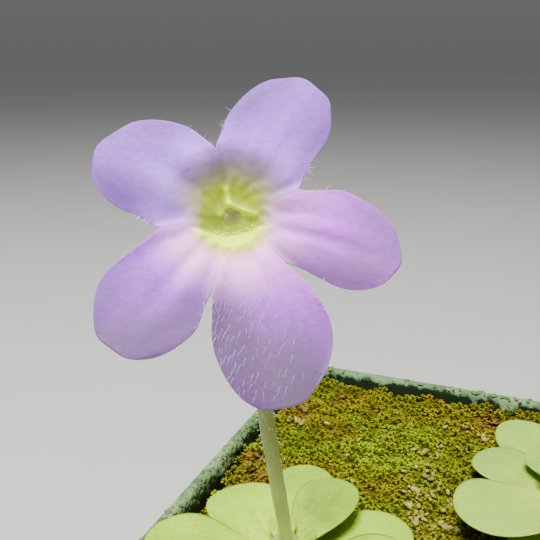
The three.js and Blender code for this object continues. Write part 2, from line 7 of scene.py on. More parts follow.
import bpy
import numpy as np
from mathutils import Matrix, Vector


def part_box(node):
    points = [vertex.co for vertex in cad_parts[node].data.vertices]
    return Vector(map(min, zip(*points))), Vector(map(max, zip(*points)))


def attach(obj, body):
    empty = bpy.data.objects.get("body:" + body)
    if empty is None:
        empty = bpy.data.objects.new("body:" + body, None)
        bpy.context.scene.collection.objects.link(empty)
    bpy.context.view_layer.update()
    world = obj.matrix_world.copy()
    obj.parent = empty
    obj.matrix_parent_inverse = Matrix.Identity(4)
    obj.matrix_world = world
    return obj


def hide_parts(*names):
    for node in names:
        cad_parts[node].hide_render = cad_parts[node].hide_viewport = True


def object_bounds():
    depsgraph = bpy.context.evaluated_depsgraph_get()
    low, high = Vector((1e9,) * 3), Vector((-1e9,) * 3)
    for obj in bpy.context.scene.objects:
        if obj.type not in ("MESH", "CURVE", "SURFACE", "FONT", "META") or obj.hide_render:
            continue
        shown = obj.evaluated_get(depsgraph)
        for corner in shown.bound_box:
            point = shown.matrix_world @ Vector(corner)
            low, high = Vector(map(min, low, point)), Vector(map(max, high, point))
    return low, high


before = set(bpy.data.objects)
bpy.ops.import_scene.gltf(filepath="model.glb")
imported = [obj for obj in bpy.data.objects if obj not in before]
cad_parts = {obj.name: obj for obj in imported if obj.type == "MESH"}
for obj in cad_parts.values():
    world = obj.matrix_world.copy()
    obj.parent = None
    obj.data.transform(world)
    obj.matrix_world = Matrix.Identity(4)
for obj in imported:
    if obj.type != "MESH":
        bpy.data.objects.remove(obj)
frame_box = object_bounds()
MM = 0.001
print("frame box in mm:", [[round(c / MM, 1) for c in corner] for corner in frame_box])

# %% [markdown]
# ## The camera
# The picture is taken from very near, with the lens almost level with the flower and a little above it.
# So near, the flower looks large and the pot behind it small, which a camera farther away can't give. The
# camera's place, its heading and its tilt are plain measures in the pot's own millimetres. Its near limit is
# brought in too, because the flower hangs only six centimetres in front of the lens.

# %% Camera
CAMERA_PLACE = (11.556, -112.416, 154.389)
CAMERA_HEADING = 22.273  # degrees to the left of straight back
CAMERA_TILT = 16.817  # degrees down
CAMERA_SENSOR, CAMERA_LENS = 36, 48
NEAR_LIMIT = 2
camera = bpy.data.objects.new("camera", bpy.data.cameras.new("camera"))
camera.data.sensor_width, camera.data.lens = CAMERA_SENSOR, CAMERA_LENS
camera.data.clip_start = NEAR_LIMIT * MM
camera.location = [c * MM for c in CAMERA_PLACE]
camera.rotation_euler = np.radians([90 - CAMERA_TILT, 0, CAMERA_HEADING])
bpy.context.scene.collection.objects.link(camera)
bpy.context.scene.camera = camera
print("camera at", CAMERA_PLACE, "mm")

# %% [markdown]
# ## Small helpers for shapes
# Leaves and petals follow smooth rules, so their points are worked out with numpy, a whole sheet at a time.
# These few helpers blend, fade and turn numbers. A spot on a flat blade is kept as one complex number, how
# far along it is plus 1j times how far across, because turning it is then one multiplication.

# %% Numbers
DEGREE = np.pi / 180


def mix(a, b, t):
    return a + (b - a) * t


def smooth(t):
    """0 below 0, 1 above 1, and a soft slope between."""
    t = np.clip(t, 0, 1)
    return t * t * (3 - 2 * t)


def turned(length, degrees):
    """A flat spot at a distance and a heading, as a complex number."""
    return length * np.exp(1j * np.asarray(degrees) * DEGREE)


def unit(vectors):
    return vectors / np.maximum(np.linalg.norm(vectors, axis=-1, keepdims=True), 1e-9)


def raised(spot, height):
    """Points in space from flat spots and their heights."""
    return np.stack(np.broadcast_arrays(spot.real, spot.imag, height), axis=-1)


def flat_spot(points):
    """The flat spots above which points in space lie."""
    return points[..., 0] + 1j * points[..., 1]


def bump_at(value, middle, width):
    """1 at the middle, fading to 0 at some widths away."""
    return np.exp(-(((value - middle) / width) ** 2))


print("a soft slope:", smooth(np.linspace(0, 1, 5)))

# %% [markdown]
# ## Making a piece
# Every piece is one mesh that is made from two arrays: its points, in millimetres, and its faces, which list
# points by number. Marks are extra numbers on the points, such as how far along a leaf a point lies, and the
# materials read them. A piece rides on the plant's one body, and hides the solids that it stands for.


# %% Pieces
def make_piece(name, points, faces, material, stands_for=(), marks=None):
    """A smooth mesh from points in millimetres, riding on the plant."""
    face_sets = faces if isinstance(faces, list) else [faces]
    corners = np.concatenate([f.ravel() for f in face_sets])
    sizes = np.concatenate([np.full(len(f), f.shape[1]) for f in face_sets])
    mesh = bpy.data.meshes.new(name)
    mesh.vertices.add(len(points))
    mesh.vertices.foreach_set("co", (points * MM).astype(np.float32).ravel())
    mesh.loops.add(len(corners))
    mesh.loops.foreach_set("vertex_index", corners.astype(np.int32))
    mesh.polygons.add(len(sizes))
    mesh.polygons.foreach_set("loop_start", (np.cumsum(sizes) - sizes).astype(np.int32))
    mesh.update(calc_edges=True)
    mesh.shade_smooth()
    for mark, values in (marks or {}).items():
        layer = mesh.attributes.new(mark, "FLOAT", "POINT")
        layer.data.foreach_set("value", np.asarray(values, np.float32).ravel())
    mesh.materials.append(material)
    piece = bpy.data.objects.new(name, mesh)
    bpy.context.scene.collection.objects.link(piece)
    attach(piece, "root")
    if stands_for:
        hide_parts(*stands_for)
    print(f"{name}: {int((sizes - 2).sum())} triangles")
    return piece


def grid_faces(rows, columns, closed=False):
    """Quads between rows of points; a closed grid joins its last column to its first."""
    width = columns if closed else columns + 1
    row, column = np.meshgrid(np.arange(rows), np.arange(columns), indexing="ij")
    beside = (column + 1) % width
    low, high = row * width, (row + 1) * width
    return np.stack([low + column, high + column, high + beside, low + beside], axis=-1).reshape(-1, 4)


def together(parts):
    """Joins (points, faces) pairs into one, numbering the faces on."""
    starts = np.cumsum([0] + [len(points) for points, _ in parts])
    points = np.concatenate([points for points, _ in parts])
    widths = sorted({faces.shape[1] for _, faces in parts})
    faces = [
        np.concatenate([f + start for (_, f), start in zip(parts, starts) if f.shape[1] == width])
        for width in widths
    ]
    return points, faces


def weld(points, faces, marks):
    """Joins points that lie in one place, so that the surface is smooth across the seam."""
    keys = np.round(points * 2000).astype(np.int64)
    _, first, number = np.unique(keys, axis=0, return_index=True, return_inverse=True)
    kept = {mark: values[first] for mark, values in marks.items()}
    return points[first], number.ravel()[faces], kept


# %% [markdown]
# ## Many small copies
# Hairs, drops, moss shoots and grains of grit come in hundreds or thousands. A small shape is made once and
# copied by array arithmetic into one mesh, which is quick and still exports as a plain mesh. Each copy has a
# place, three axes that turn it, and a size.


# %% Copies and hairs
def axes_on(normals, spin=0.0):
    """Three axes for each copy: the last along its normal, the others turned about it by spin degrees."""
    spin = np.broadcast_to(spin * DEGREE, len(normals))[:, None]
    helper = np.where(np.abs(normals[:, 2:]) > 0.9, [[1.0, 0, 0]], [[0, 0, 1.0]])
    first = unit(np.cross(helper, normals))
    second = np.cross(normals, first)
    c, s = np.cos(spin), np.sin(spin)
    return np.stack([first * c + second * s, second * c - first * s, normals], axis=1)


def copies(shape, faces, places, axes, sizes):
    """Copies of a small shape, as one set of points and faces."""
    points = (shape[None] * np.reshape(sizes, (len(places), 1, -1))) @ axes + places[:, None]
    numbers = faces[None] + (np.arange(len(places)) * len(shape))[:, None, None]
    return points.reshape(-1, 3), numbers.reshape(-1, faces.shape[1])


def ball(sides=6, rings=3):
    """A small round body of radius 1 in a few faces."""
    tilt = np.linspace(-90, 90, rings + 2) * DEGREE
    spot = turned(np.cos(tilt)[:, None], np.arange(sides) * 360 / sides)
    points = raised(spot, np.sin(tilt)[:, None]).reshape(-1, 3)
    return points, grid_faces(rings + 1, sides, closed=True)[:, ::-1]


def hairs(roots, directions, lengths, thickness, droop=0.15, steps=4, sides=3):
    """Slim hairs that taper and bend over as they grow."""
    t = np.linspace(0, 1, steps + 1)
    axes = axes_on(unit(directions))
    down = np.array([0, 0, -1.0])
    bend = droop * lengths[:, None, None] * (t**2)[None, :, None] * down
    path = roots[:, None] + axes[:, None, 2] * (lengths[:, None] * t)[..., None] + bend
    radius = thickness / 2 * (1 - 0.75 * t)
    turn = np.arange(sides) * 2 * np.pi / sides
    ring = np.cos(turn)[:, None] * axes[:, None, None, 0] + np.sin(turn)[:, None] * axes[:, None, None, 1]
    points = path[:, :, None] + radius[:, None, None] * ring
    numbers = grid_faces(steps, sides, closed=True)[:, ::-1]
    starts = np.arange(len(roots)) * (steps + 1) * sides
    faces = (numbers[None] + starts[:, None, None]).reshape(-1, 4)
    return points.reshape(-1, 3), faces, path[:, -1]


print("a small ball has", len(ball()[1]), "faces")

# %% [markdown]
# ## Mixing paints
# A material is a small network of nodes that ends in the Principled shader. The helper class below adds a
# node, sets or joins its inputs, and hands back its output, so that a whole finish reads as a few lines.
# Colours are given as the 0 to 255 numbers that people know, and turned into the light that Blender adds up.


# %% Node helpers
def paint(red, green, blue):
    """A colour from 0 to 255 numbers, in Blender's linear light."""
    shown = np.array([red, green, blue]) / 255
    linear = np.where(shown > 0.04045, ((shown + 0.055) / 1.055) ** 2.4, shown / 12.92)
    return (*linear, 1.0)


class Nodes:
    """A short way to add and join the nodes of one material or one group."""

    def __init__(self, tree):
        self.tree = tree

    def feed(self, socket, value):
        """Joins a socket to an output, or sets it to a plain value."""
        if isinstance(value, bpy.types.NodeSocket):
            self.tree.links.new(value, socket)
        else:
            socket.default_value = value

    def add(self, kind, inputs, **settings):
        node = self.tree.nodes.new("ShaderNode" + kind)
        for setting, value in settings.items():
            setattr(node, setting, value)
        for name, value in inputs.items():
            self.feed(node.inputs[name], value)
        return node

    def math(self, operation, a, b=0.0):
        return self.add("Math", {0: a, 1: b}, operation=operation).outputs[0]

    def plus(self, a, b):
        return self.math("ADD", a, b)

    def times(self, a, b):
        return self.math("MULTIPLY", a, b)

    def swing(self, noise, width):
        """Noise, made to swing round 0 by that width."""
        return self.times(self.math("SUBTRACT", noise, 0.5), width)

    def fade(self, value, low, high, start=0.0, end=1.0):
        """start where the value is low, end where it is high, and a soft slope between."""
        inputs = {"Value": value, "From Min": low, "From Max": high, "To Min": start, "To Max": end}
        return self.add("MapRange", inputs, interpolation_type="SMOOTHSTEP").outputs[0]

    def blend(self, share, a, b):
        """Colour a where the share is 0, colour b where it is 1."""
        node = self.add("Mix", {0: share, 6: a, 7: b}, data_type="RGBA")
        return node.outputs[2]

    def over(self, base, colour, mask, strength):
        """A base with a colour laid over it where a mask says, as strongly as is given."""
        return self.blend(self.times(mask, strength), base, colour)

    def mark(self, name):
        """A number that the piece carries on its points."""
        return self.add("Attribute", {}, attribute_name=name).outputs["Fac"]

    def millimetres(self):
        """The place on the plant, in millimetres."""
        place = self.add("TexCoord", {}).outputs["Object"]
        return self.add("VectorMath", {0: place, "Scale": 1 / MM}, operation="SCALE").outputs[0]

    def stretched(self, *factors):
        """The place in millimetres, stretched or flattened along each axis."""
        return self.add("VectorMath", {0: self.millimetres(), 1: factors}, operation="MULTIPLY").outputs[0]

    def noise(self, size, detail=2.0, rough=0.5):
        """Cloudy noise whose patches are about that many millimetres."""
        inputs = {"Vector": self.millimetres(), "Scale": 1 / size, "Detail": detail, "Roughness": rough}
        return self.add("TexNoise", inputs).outputs["Fac"]

    def use(self, group, inputs):
        """Places a node group and gives back its outputs."""
        node = self.tree.nodes.new("ShaderNodeGroup")
        node.node_tree = group
        for name, value in inputs.items():
            self.feed(node.inputs[name], value)
        return node.outputs

    def relief(self, height, distance, strength=1.0):
        """A normal that makes a height look raised by that many millimetres."""
        inputs = {"Height": height, "Distance": distance * MM, "Strength": strength}
        return self.add("Bump", inputs).outputs["Normal"]

    def finish(self, socket, value):
        """Joins an output, or sets a plain value, on the material's own Principled shader."""
        self.feed(self.tree.nodes["Principled BSDF"].inputs[socket], value)


print("middle grey in linear light:", round(paint(119, 119, 119)[0], 3))

# %% [markdown]
# A new finish starts with plain values on its shader, and a new group with its inputs. Light that goes in and
# comes out softened, as it does in all living tissue, is called subsurface scattering.


# %% New finishes and groups
def soft(weight, depth, spread=(1.0, 0.2, 0.1)):
    """Values that let light into a finish: how much, how many millimetres deep, and which colours farther."""
    return {"Subsurface Weight": weight, "Subsurface Scale": depth * MM, "Subsurface Radius": spread}


def new_finish(name, values):
    """A material whose Principled shader has some plain values, and a way to add nodes to it."""
    material = bpy.data.materials.new(name)
    material.use_nodes = True
    nodes = Nodes(material.node_tree)
    for socket, value in values.items():
        nodes.finish(socket, value)
    print("finish:", name)
    return material, nodes


def new_group(name, inputs):
    """An empty shader node group with float inputs, and its ends."""
    tree = bpy.data.node_groups.new(name, "ShaderNodeTree")
    for label, value in inputs.items():
        socket = tree.interface.new_socket(name=label, in_out="INPUT", socket_type="NodeSocketFloat")
        socket.default_value = value
    tree.nodes.new("NodeGroupInput")
    tree.nodes.new("NodeGroupOutput")
    return tree, Nodes(tree), tree.nodes["Group Input"].outputs


def give(tree, outputs):
    """Adds a group's outputs and joins them."""
    for label, value in outputs.items():
        tree.interface.new_socket(name=label, in_out="OUTPUT", socket_type="NodeSocketFloat")
        tree.links.new(value, tree.nodes["Group Output"].inputs[label])
    print("effect:", tree.name, list(outputs))


print("helpers for finishes and groups are ready")

# %% [markdown]
# ## Effects that several finishes share
# Three effects turn up again and again on this plant. Veins are fine lines that run along a blade, doubling
# towards its edge. Skin is the pebbled look of living cells, made from Voronoi cells a fraction of a
# millimetre wide. Patches are two sizes of cloudy noise, for colour that is never quite even. Each is a node
# group, built once and placed in each material with its own sizes.

# %% Shared effects
veins, nodes, given = new_group("veins", {"Along": 0, "Across": 0, "Count": 6, "Width": 0.2, "Start": 0})
lane = nodes.plus(nodes.times(given["Across"], given["Count"]), nodes.swing(nodes.noise(3), 0.5))
line = nodes.fade(nodes.math("PINGPONG", lane, 0.5), given["Width"], 0)
begun = nodes.fade(given["Along"], given["Start"], nodes.plus(given["Start"], 0.15))
give(veins, {"Line": nodes.times(line, begun)})

skin, nodes, given = new_group("skin", {"Cell Size": 0.1})
cells = nodes.add("TexVoronoi", {"Vector": nodes.millimetres()})
nodes.feed(cells.inputs["Scale"], nodes.math("DIVIDE", 1.0, given["Cell Size"]))
give(skin, {"Domes": nodes.math("SUBTRACT", 1.0, cells.outputs["Distance"])})

patches, nodes, given = new_group("patches", {"Large": 5, "Small": 1})
clouds = []
for label in ("Large", "Small"):
    cloud = nodes.add("TexNoise", {"Vector": nodes.millimetres(), "Detail": 3.0})
    nodes.feed(cloud.inputs["Scale"], nodes.math("DIVIDE", 1.0, given[label]))
    clouds.append(nodes.fade(cloud.outputs["Fac"], 0.3, 0.7))
give(patches, {"Broad": clouds[0], "Fine": clouds[1]})


def vein_line(nodes, along, across, count, width, start=0):
    """A mask of fine lines along a blade."""
    sizes = {"Along": along, "Across": across, "Count": count, "Width": width, "Start": start}
    return nodes.use(veins, sizes)["Line"]


def pebbled(nodes, cell_size, depth):
    """A normal that raises the cells of a skin, both measures in millimetres."""
    return nodes.relief(nodes.use(skin, {"Cell Size": cell_size})["Domes"], depth)


print("shared effects:", len(bpy.data.node_groups))

# %% [markdown]
# ## Floor and light
# The pot stands on a plain pale floor, under a pale sky that lights it from all round. The sky is a third as
# bright at the horizon as overhead, as a cloudy one is, and so the floor fades into it without a line. A
# broad lamp high above and a little in front does most of the work. Its steep light catches the swollen lip,
# leaves the ends of the lower petals in shade, and so shows how each petal bends. A weak lamp from the other
# side keeps the shadows open.

# %% Floor and lamps
FLOOR_HALF = 6.0  # metres
SKY_HORIZON, SKY_TOP = 0.145, 0.40  # how bright
KEY_LAMP = {"place": (-0.03, -0.27, 0.86), "size": 0.3, "power": 24}  # metres and watts
FILL_LAMP = {"place": (0.55, -0.45, 0.3), "size": 0.6, "power": 1}

floor_material, nodes = new_finish("pale_floor", {"Roughness": 0.9, "Specular IOR Level": 0.2})
nodes.finish("Base Color", nodes.blend(nodes.noise(40, 3), paint(178, 177, 174), paint(182, 181, 178)))
floor_mesh = bpy.data.meshes.new("floor")
floor_corners = [(x * FLOOR_HALF, y * FLOOR_HALF, 0) for x, y in ((-1, -1), (1, -1), (1, 1), (-1, 1))]
floor_mesh.from_pydata(floor_corners, [], [(0, 1, 2, 3)])
floor_mesh.materials.append(floor_material)
floor = bpy.data.objects.new("floor", floor_mesh)
bpy.context.scene.collection.objects.link(floor)

sky = bpy.data.worlds.new("soft_sky")
sky.use_nodes = True
nodes = Nodes(sky.node_tree)
background = sky.node_tree.nodes["Background"]
background.inputs["Color"].default_value = paint(240, 242, 246)
height = nodes.add("SeparateXYZ", {0: nodes.add("TexCoord", {}).outputs["Generated"]}).outputs["Z"]
slope = nodes.add("MapRange", {"Value": height, "To Min": SKY_HORIZON, "To Max": SKY_TOP})
nodes.feed(background.inputs["Strength"], slope.outputs[0])
bpy.context.scene.world = sky


def add_lamp(name, aim, place, size, power):
    """A square soft lamp, turned towards the place that it lights."""
    lamp = bpy.data.objects.new(name, bpy.data.lights.new(name, "AREA"))
    lamp.data.size = size
    lamp.data.energy = power
    lamp.location = place
    lamp.rotation_euler = (aim - lamp.location).to_track_quat("-Z", "Y").to_euler()
    bpy.context.scene.collection.objects.link(lamp)


plant_middle = (frame_box[0] + frame_box[1]) / 2
add_lamp("key_lamp", plant_middle, **KEY_LAMP)
add_lamp("fill_lamp", plant_middle, **FILL_LAMP)
print("lamps aimed at", [round(c, 3) for c in plant_middle])

# %% [markdown]
# ## The outline of a blade
# Leaves, sepals and petal lobes are all blades: a base, two sides that swell to a widest place, and a tip
# that is half an ellipse. A Coons patch fills such an outline from its four edges. It takes the blend of the
# two ends, adds the blend of the two sides, and takes away what was counted twice. That gives an even grid
# that follows the outline, which a flat drawing filled with triangles would not.

# %% Blades
WIDEST_ROW = 0.62  # share of the side that lies below the widest place
TIP_CORNER = 48  # where side and tip meet, in degrees round the ellipse


def blade_side(shape, u):
    """The outline's left side from base to tip corner, for u from 0 to 1."""
    half, end = shape["width"] / 2, shape["length"] - shape["widest_at"]
    share = np.clip(u / WIDEST_ROW, 0, 1)
    rise = np.sin(share * 90 * DEGREE) ** shape["swell"]
    start = shape["start"]
    low = mix(start.real, shape["widest_at"], share) + 1j * mix(start.imag, half, rise)
    turn = np.clip((u - WIDEST_ROW) / (1 - WIDEST_ROW), 0, 1) * TIP_CORNER * DEGREE
    high = shape["widest_at"] + end * np.sin(turn) + 1j * half * np.cos(turn)
    return np.where(u < WIDEST_ROW, low, high)


def blade_tip(shape, v):
    """The tip's edge, for v from -1 on the right to 1 on the left."""
    turn = (90 - (90 - TIP_CORNER) * np.abs(v)) * DEGREE
    end = shape["length"] - shape["widest_at"]
    return shape["widest_at"] + end * np.sin(turn) + 1j * np.sign(v) * shape["width"] / 2 * np.cos(turn)


def patch(u, v, base, tip, side):
    """Fills the outline between four edges."""
    s = (v + 1) / 2
    ends = mix(base(v), tip(v), u)
    sides = mix(side(u, -1), side(u, 1), s)
    corners = mix(mix(base(-1), base(1), s), mix(tip(-1), tip(1), s), u)
    return ends + sides - corners


def blade_spot(shape, u, v):
    """A spot of a plain blade: u from base to tip, v across it."""

    def side(w, sign):
        left = blade_side(shape, w)
        return left if sign > 0 else np.conj(left)

    return patch(u, v, lambda w: 1j * w * shape["start"].imag, lambda w: blade_tip(shape, w), side)


def sheet_grid(rows, columns):
    """The u and v of every point of a sheet."""
    return np.meshgrid(np.linspace(0, 1, rows + 1), np.linspace(-1, 1, columns + 1), indexing="ij")


def on_sheet(surface, u, v):
    """Points and outward normals of a surface that is given as a function of u and v."""
    step = 0.004
    here = surface(u, v)
    along = surface(np.clip(u + step, 0, 1), v) - surface(np.clip(u - step, 0, 1), v)
    across = surface(u, np.clip(v + step, -1, 1)) - surface(u, np.clip(v - step, -1, 1))
    return here, unit(np.cross(along, across))


print("a sheet of 3 by 2 quads has", sheet_grid(3, 2)[0].size, "points")

# %% [markdown]
# ## The flower's own measures
# The flower is drawn in its own frame, as someone who looks straight into it sees it: x to the right, y up
# and z out of its face. Its five lobes are all different, as on a living plant. Each has a heading, a reach,
# a width, and its own way to swell, sweep to one side and bend back. The clefts between lobes have a heading
# and a depth too. The frame is then turned to where the flower looks.

# %% Flower measures
FLOWER_CENTRE = np.array([-15.4, -55.8, 140.8])
FACE_AZIMUTH, FACE_ELEVATION = -66, 20
face_level = turned(np.cos(FACE_ELEVATION * DEGREE), FACE_AZIMUTH)
face = np.array([face_level.real, face_level.imag, np.sin(FACE_ELEVATION * DEGREE)])
face_right = unit(np.cross([0, 0, 1.0], face))
FLOWER_AXES = np.stack([face_right, np.cross(face, face_right), face])

# Each lobe's shape, then its finish: how pink it is, its furrow and where that lies, how strong the painted
# shade on its end is, how far out that shade starts and to which side it leans. Last come the tones of its
# sides: how much painted shade, or below 0 how much painted highlight, each side gets, near its base and tip.
LOBES = [
    dict(heading=62, reach=13.9, width=8.7, widest=0.65, swell=0.6, sweep=-0.9, recurve=0.5,
         pink=0.2, furrow=0.15, furrow_at=0.1, end_shade=0.35, end_shade_from=0.32, end_shade_side=-1,
         side_light_tones=((0.1, 0.3), (-0.2, 1.0))),
    dict(heading=148, reach=13.3, width=9.2, widest=0.6, swell=0.8, sweep=1.3, recurve=0.7,
         pink=0.1, furrow=0.12, furrow_at=-0.1, end_shade=0.4, end_shade_from=0.32, end_shade_side=1,
         side_light_tones=((-0.9, 0.7), (0.4, 1.0))),
    dict(heading=228, reach=16.2, width=9.4, widest=0.66, swell=1.9, sweep=-0.3, recurve=1.0,
         pink=0.45, furrow=0.15, furrow_at=0.05, end_shade=0.9, end_shade_from=0.32, end_shade_side=1,
         side_light_tones=((0, 0.9), (0.5, 0.1))),
    dict(heading=289, reach=18.3, width=10.7, widest=0.65, swell=1.0, sweep=-0.7, recurve=2.2,
         pink=0.75, furrow=0.22, furrow_at=-0.05, end_shade=1.0, end_shade_from=0.18, end_shade_side=-1.2,
         side_light_tones=((0.3, 0.8), (-0.5, 0.3))),
    dict(heading=348, reach=15.9, width=8.4, widest=0.65, swell=2.0, sweep=-1.1, recurve=1.2,
         pink=0.9, furrow=0.35, furrow_at=-0.12, end_shade=0.65, end_shade_from=0.32, end_shade_side=-1,
         side_light_tones=((0.8, 0.4), (-0.6, 0.5))),
]
# After each lobe comes a cleft: its heading, its reach, and which lobe lies in front there.
CLEFTS = [(102, 5.7, 1), (192, 6.4, 2), (257, 7.0, 3), (316, 6.4, 3), (18.5, 6.3, 4)]
THROAT_RADIUS, THROAT_DEPTH = 3.2, 0.9
FLAT_RADIUS = 7  # where the funnel has opened out flat
SHARED = 0.3  # share of a lobe's rows that it has in common with its neighbours
SPUR_HEADING = 281
MOUTH_TOP, MOUTH_PEAK = -0.4 + 2.3j, -0.2 + 0.86j  # the roof's middle ridge and its peak
MOUTH_LEFT, MOUTH_RIGHT = -1.05 + 0.1j, 2.1 - 0.05j  # ends of the roof's edge
HOLE = 0.1 - 0.3j  # where the mouth is deepest


def out_of_flower(points):
    """From the flower's frame to the pot's, in millimetres."""
    return points @ FLOWER_AXES + FLOWER_CENTRE


print("flower faces", np.round(face, 3))

# %% [markdown]
# ## Petals
# The five lobes are one thin sheet that splits only beyond the throat. Inwards it narrows to a funnel and
# then a tube. Each lobe's part of the sheet is a patch from the throat to its tip, and the five are welded
# along the lines that they share. What makes a petal look alive is its relief: soft folds that fan out from
# the throat, edges that wave a little, a hollow above the mouth and a swollen lip below it.


# %% The outline of a lobe
def lobe_turns(i):
    """Headings of the clefts on both sides of lobe i, from its own heading."""
    lobe = LOBES[i]["heading"]
    return [(CLEFTS[k][0] - lobe + 180) % 360 - 180 for k in (i - 1, i)]


def lobe_spot(i, u, v):
    """A flat spot of lobe i, along and across its own heading."""
    lobe, turns = LOBES[i], lobe_turns(i)
    shape = {"length": lobe["reach"], "width": lobe["width"], "swell": lobe["swell"]}
    shape["widest_at"] = lobe["reach"] * lobe["widest"]

    def side(w, sign):
        k = 0 if sign < 0 else 1
        reach = CLEFTS[i - 1 + k][1]
        cleft = turned(reach, turns[k])
        start = cleft.real + 1j * abs(cleft.imag)
        left = blade_side(shape | {"start": start}, np.clip((w - SHARED) / (1 - SHARED), 0, 1))
        free = left if sign > 0 else np.conj(left)
        joined = turned(mix(THROAT_RADIUS, reach, w / SHARED), turns[k])
        return np.where(w <= SHARED, joined, free)

    return patch(
        u, v, lambda w: turned(THROAT_RADIUS, mix(*turns, (w + 1) / 2)), lambda w: blade_tip(shape, w), side
    )


print("clefts beside the lowest lobe, in degrees from its heading:", lobe_turns(3))


# %% The relief of the flower
def ridge(spot, start, end, width):
    """A soft ridge along a straight line on the flat."""
    share = np.clip(((spot - start) * np.conj(end - start)).real / abs(end - start) ** 2, 0, 1)
    return bump_at(np.abs(spot - mix(start, end, share)), 0, width)


def lip_edge(x):
    """The inner edge of the lower lip, almost a straight line across the mouth."""
    return -1.85 + 0.08 * x + 0.08 * np.clip(x, -3, 2.4) ** 2


def under_lip(spot):
    """1 on the lower lip, 0 above its inner edge."""
    return smooth((lip_edge(spot.real) - spot.imag) / 0.5 + 0.5)


def throat_relief(spot):
    """How far the folds of the throat stand out of the plain funnel."""
    radius = np.abs(spot)
    up = spot.imag / np.maximum(radius, 0.1)
    hollow = -0.6 * smooth((6.4 - radius) / 3.0) * smooth(1.2 * up + 0.1) * smooth(radius / 2)
    lip = 0.55 * bump_at(radius, 2.85, 0.8) * under_lip(spot)
    arch = ridge(spot, MOUTH_TOP, MOUTH_PEAK, 0.42) + ridge(spot, MOUTH_PEAK, MOUTH_RIGHT, 0.36)
    arch = arch + 0.35 * ridge(spot, MOUTH_PEAK, MOUTH_LEFT, 0.36)
    pleats = 0.05 * np.sin(17 * np.angle(spot) + 2 * radius) * bump_at(radius, 3.1, 0.7)
    return hollow + lip + 0.3 * arch + pleats


def overlap(i, spot):
    """How far lobe i stands out where it meets its neighbours: the front one laps over the other."""
    lift = 0
    for heading, _, front in (CLEFTS[i - 1], CLEFTS[i]):
        line = spot * turned(1, -heading)
        away = np.abs(line.imag) + 2 * np.maximum(-line.real, 0)
        wide, narrow = bump_at(away, 0, 1.2), bump_at(away, 0, 0.32)
        fold = wide if front == i else 1.5 * narrow - 0.5 * wide
        lift = lift + 0.34 * smooth((line.real - 3.3) / 1.8) * fold
    return lift


print("how far the lip stands out:", round(float(throat_relief(np.array([-2.8j]))[0]), 2))


# %% The surface of a lobe
def lobe_surface(i, u, v):
    """A point of lobe i in the flower's frame."""
    lobe = LOBES[i]
    flat = lobe_spot(i, u, v)
    radius = np.abs(flat)
    edge = smooth((np.abs(v) - 0.55) / 0.45) * smooth(2 * u - 0.7)
    x = flat.real + 0.10 * np.sin(6 * v + 2 * i) * smooth((u - 0.8) / 0.2)
    y = flat.imag + 0.10 * np.sin(14 * u + 3 * i) * edge
    opened = np.clip((radius - THROAT_RADIUS) / (FLAT_RADIUS - THROAT_RADIUS), 0, 1)
    out = np.clip((x - THROAT_RADIUS) / (lobe["reach"] - THROAT_RADIUS), 0, 1)
    side = y / (lobe["width"] / 2)
    bend = lobe["recurve"] * out**2.5 + 0.55 * side**2 * smooth(1.6 * out)
    swept = y + lobe["sweep"] * np.clip((x - FLAT_RADIUS) / (lobe["reach"] - FLAT_RADIUS), 0, 1) ** 1.5
    spot = turned(1, lobe["heading"]) * (x + 1j * swept)
    folds = 0.09 * np.sin(8 * v + 5 * i + 1.5 * u) * smooth(u / 0.15) * smooth((0.9 - u) / 0.6)
    wave = 0.16 * np.sin(9 * u + 3 * i + 2 * v) * edge
    furrow = lobe["furrow"] * bump_at(v, lobe["furrow_at"], 0.17) * smooth(u / 0.3) * smooth((1 - u) / 0.5)
    joined = np.abs(v) ** 6 * (1 - smooth((u - SHARED) / 0.12))
    own = (1 - joined) * (folds + wave - furrow - bend)
    z = own - THROAT_DEPTH * (1 - opened) ** 2 + overlap(i, spot) + throat_relief(spot)
    return raised(spot, z)


print("tip of the lowest lobe:", np.round(lobe_surface(3, np.ones(1), np.zeros(1))[0], 1))

# %% [markdown]
# The tube is turned from a short list of radii. Its funnel carries on the slope of the petals, so that no
# line shows where the two meet. Each point also says where it lies in the mouth, so that the finish can tell
# roof, ridges, lip and hole apart, paint shade deep in the hole and paint a highlight on the roof's edge.


# %% Marks of the mouth
def roof_share(spot):
    """1 on the roof of the mouth, 0 on the floor behind its edge."""
    x = spot.real - MOUTH_PEAK.real
    drop = np.where(x > 0, 0.385 * x, 1.8 * np.maximum(-x, 0) ** 2)
    steep = np.hypot(1, 3.6 * np.maximum(-x, 0))
    softness = np.where(x > 0, 0.42, (0.42 + 1.3 * np.minimum(-x, 1)) * steep)
    roof = smooth((spot.imag - MOUTH_PEAK.imag + drop) / softness + 0.5)
    return roof * mix(1, smooth((spot.imag + 2.6) / 3.6), smooth((-0.3 - spot.real) / 0.8))


def mouth_marks(spot):
    """Where a spot lies in the mouth: on its roof, a ridge of the roof or the lower lip; the roof's edge gets
    a painted highlight.
    """
    ridges = ridge(spot, MOUTH_TOP, MOUTH_PEAK, 0.26) + ridge(spot, MOUTH_PEAK, MOUTH_RIGHT, 0.28)
    ridges = ridges + 0.35 * ridge(spot, MOUTH_PEAK, MOUTH_LEFT, 0.26)
    hole = bump_at(np.abs(spot - HOLE), 0, 1.2)
    roof = roof_share(spot)
    # painted highlight: the roof's edge turns down into shade, and is lightened by joining the pale ridges
    edge = 2.4 * roof * (1 - roof) * smooth((spot.real + 0.3) / 0.5)
    return {"roof": roof, "ridge": np.clip(ridges + edge, 0, 1), "lip": under_lip(spot), "hole": hole}


print("marks in the hole:", {name: round(float(value), 2) for name, value in mouth_marks(HOLE).items()})

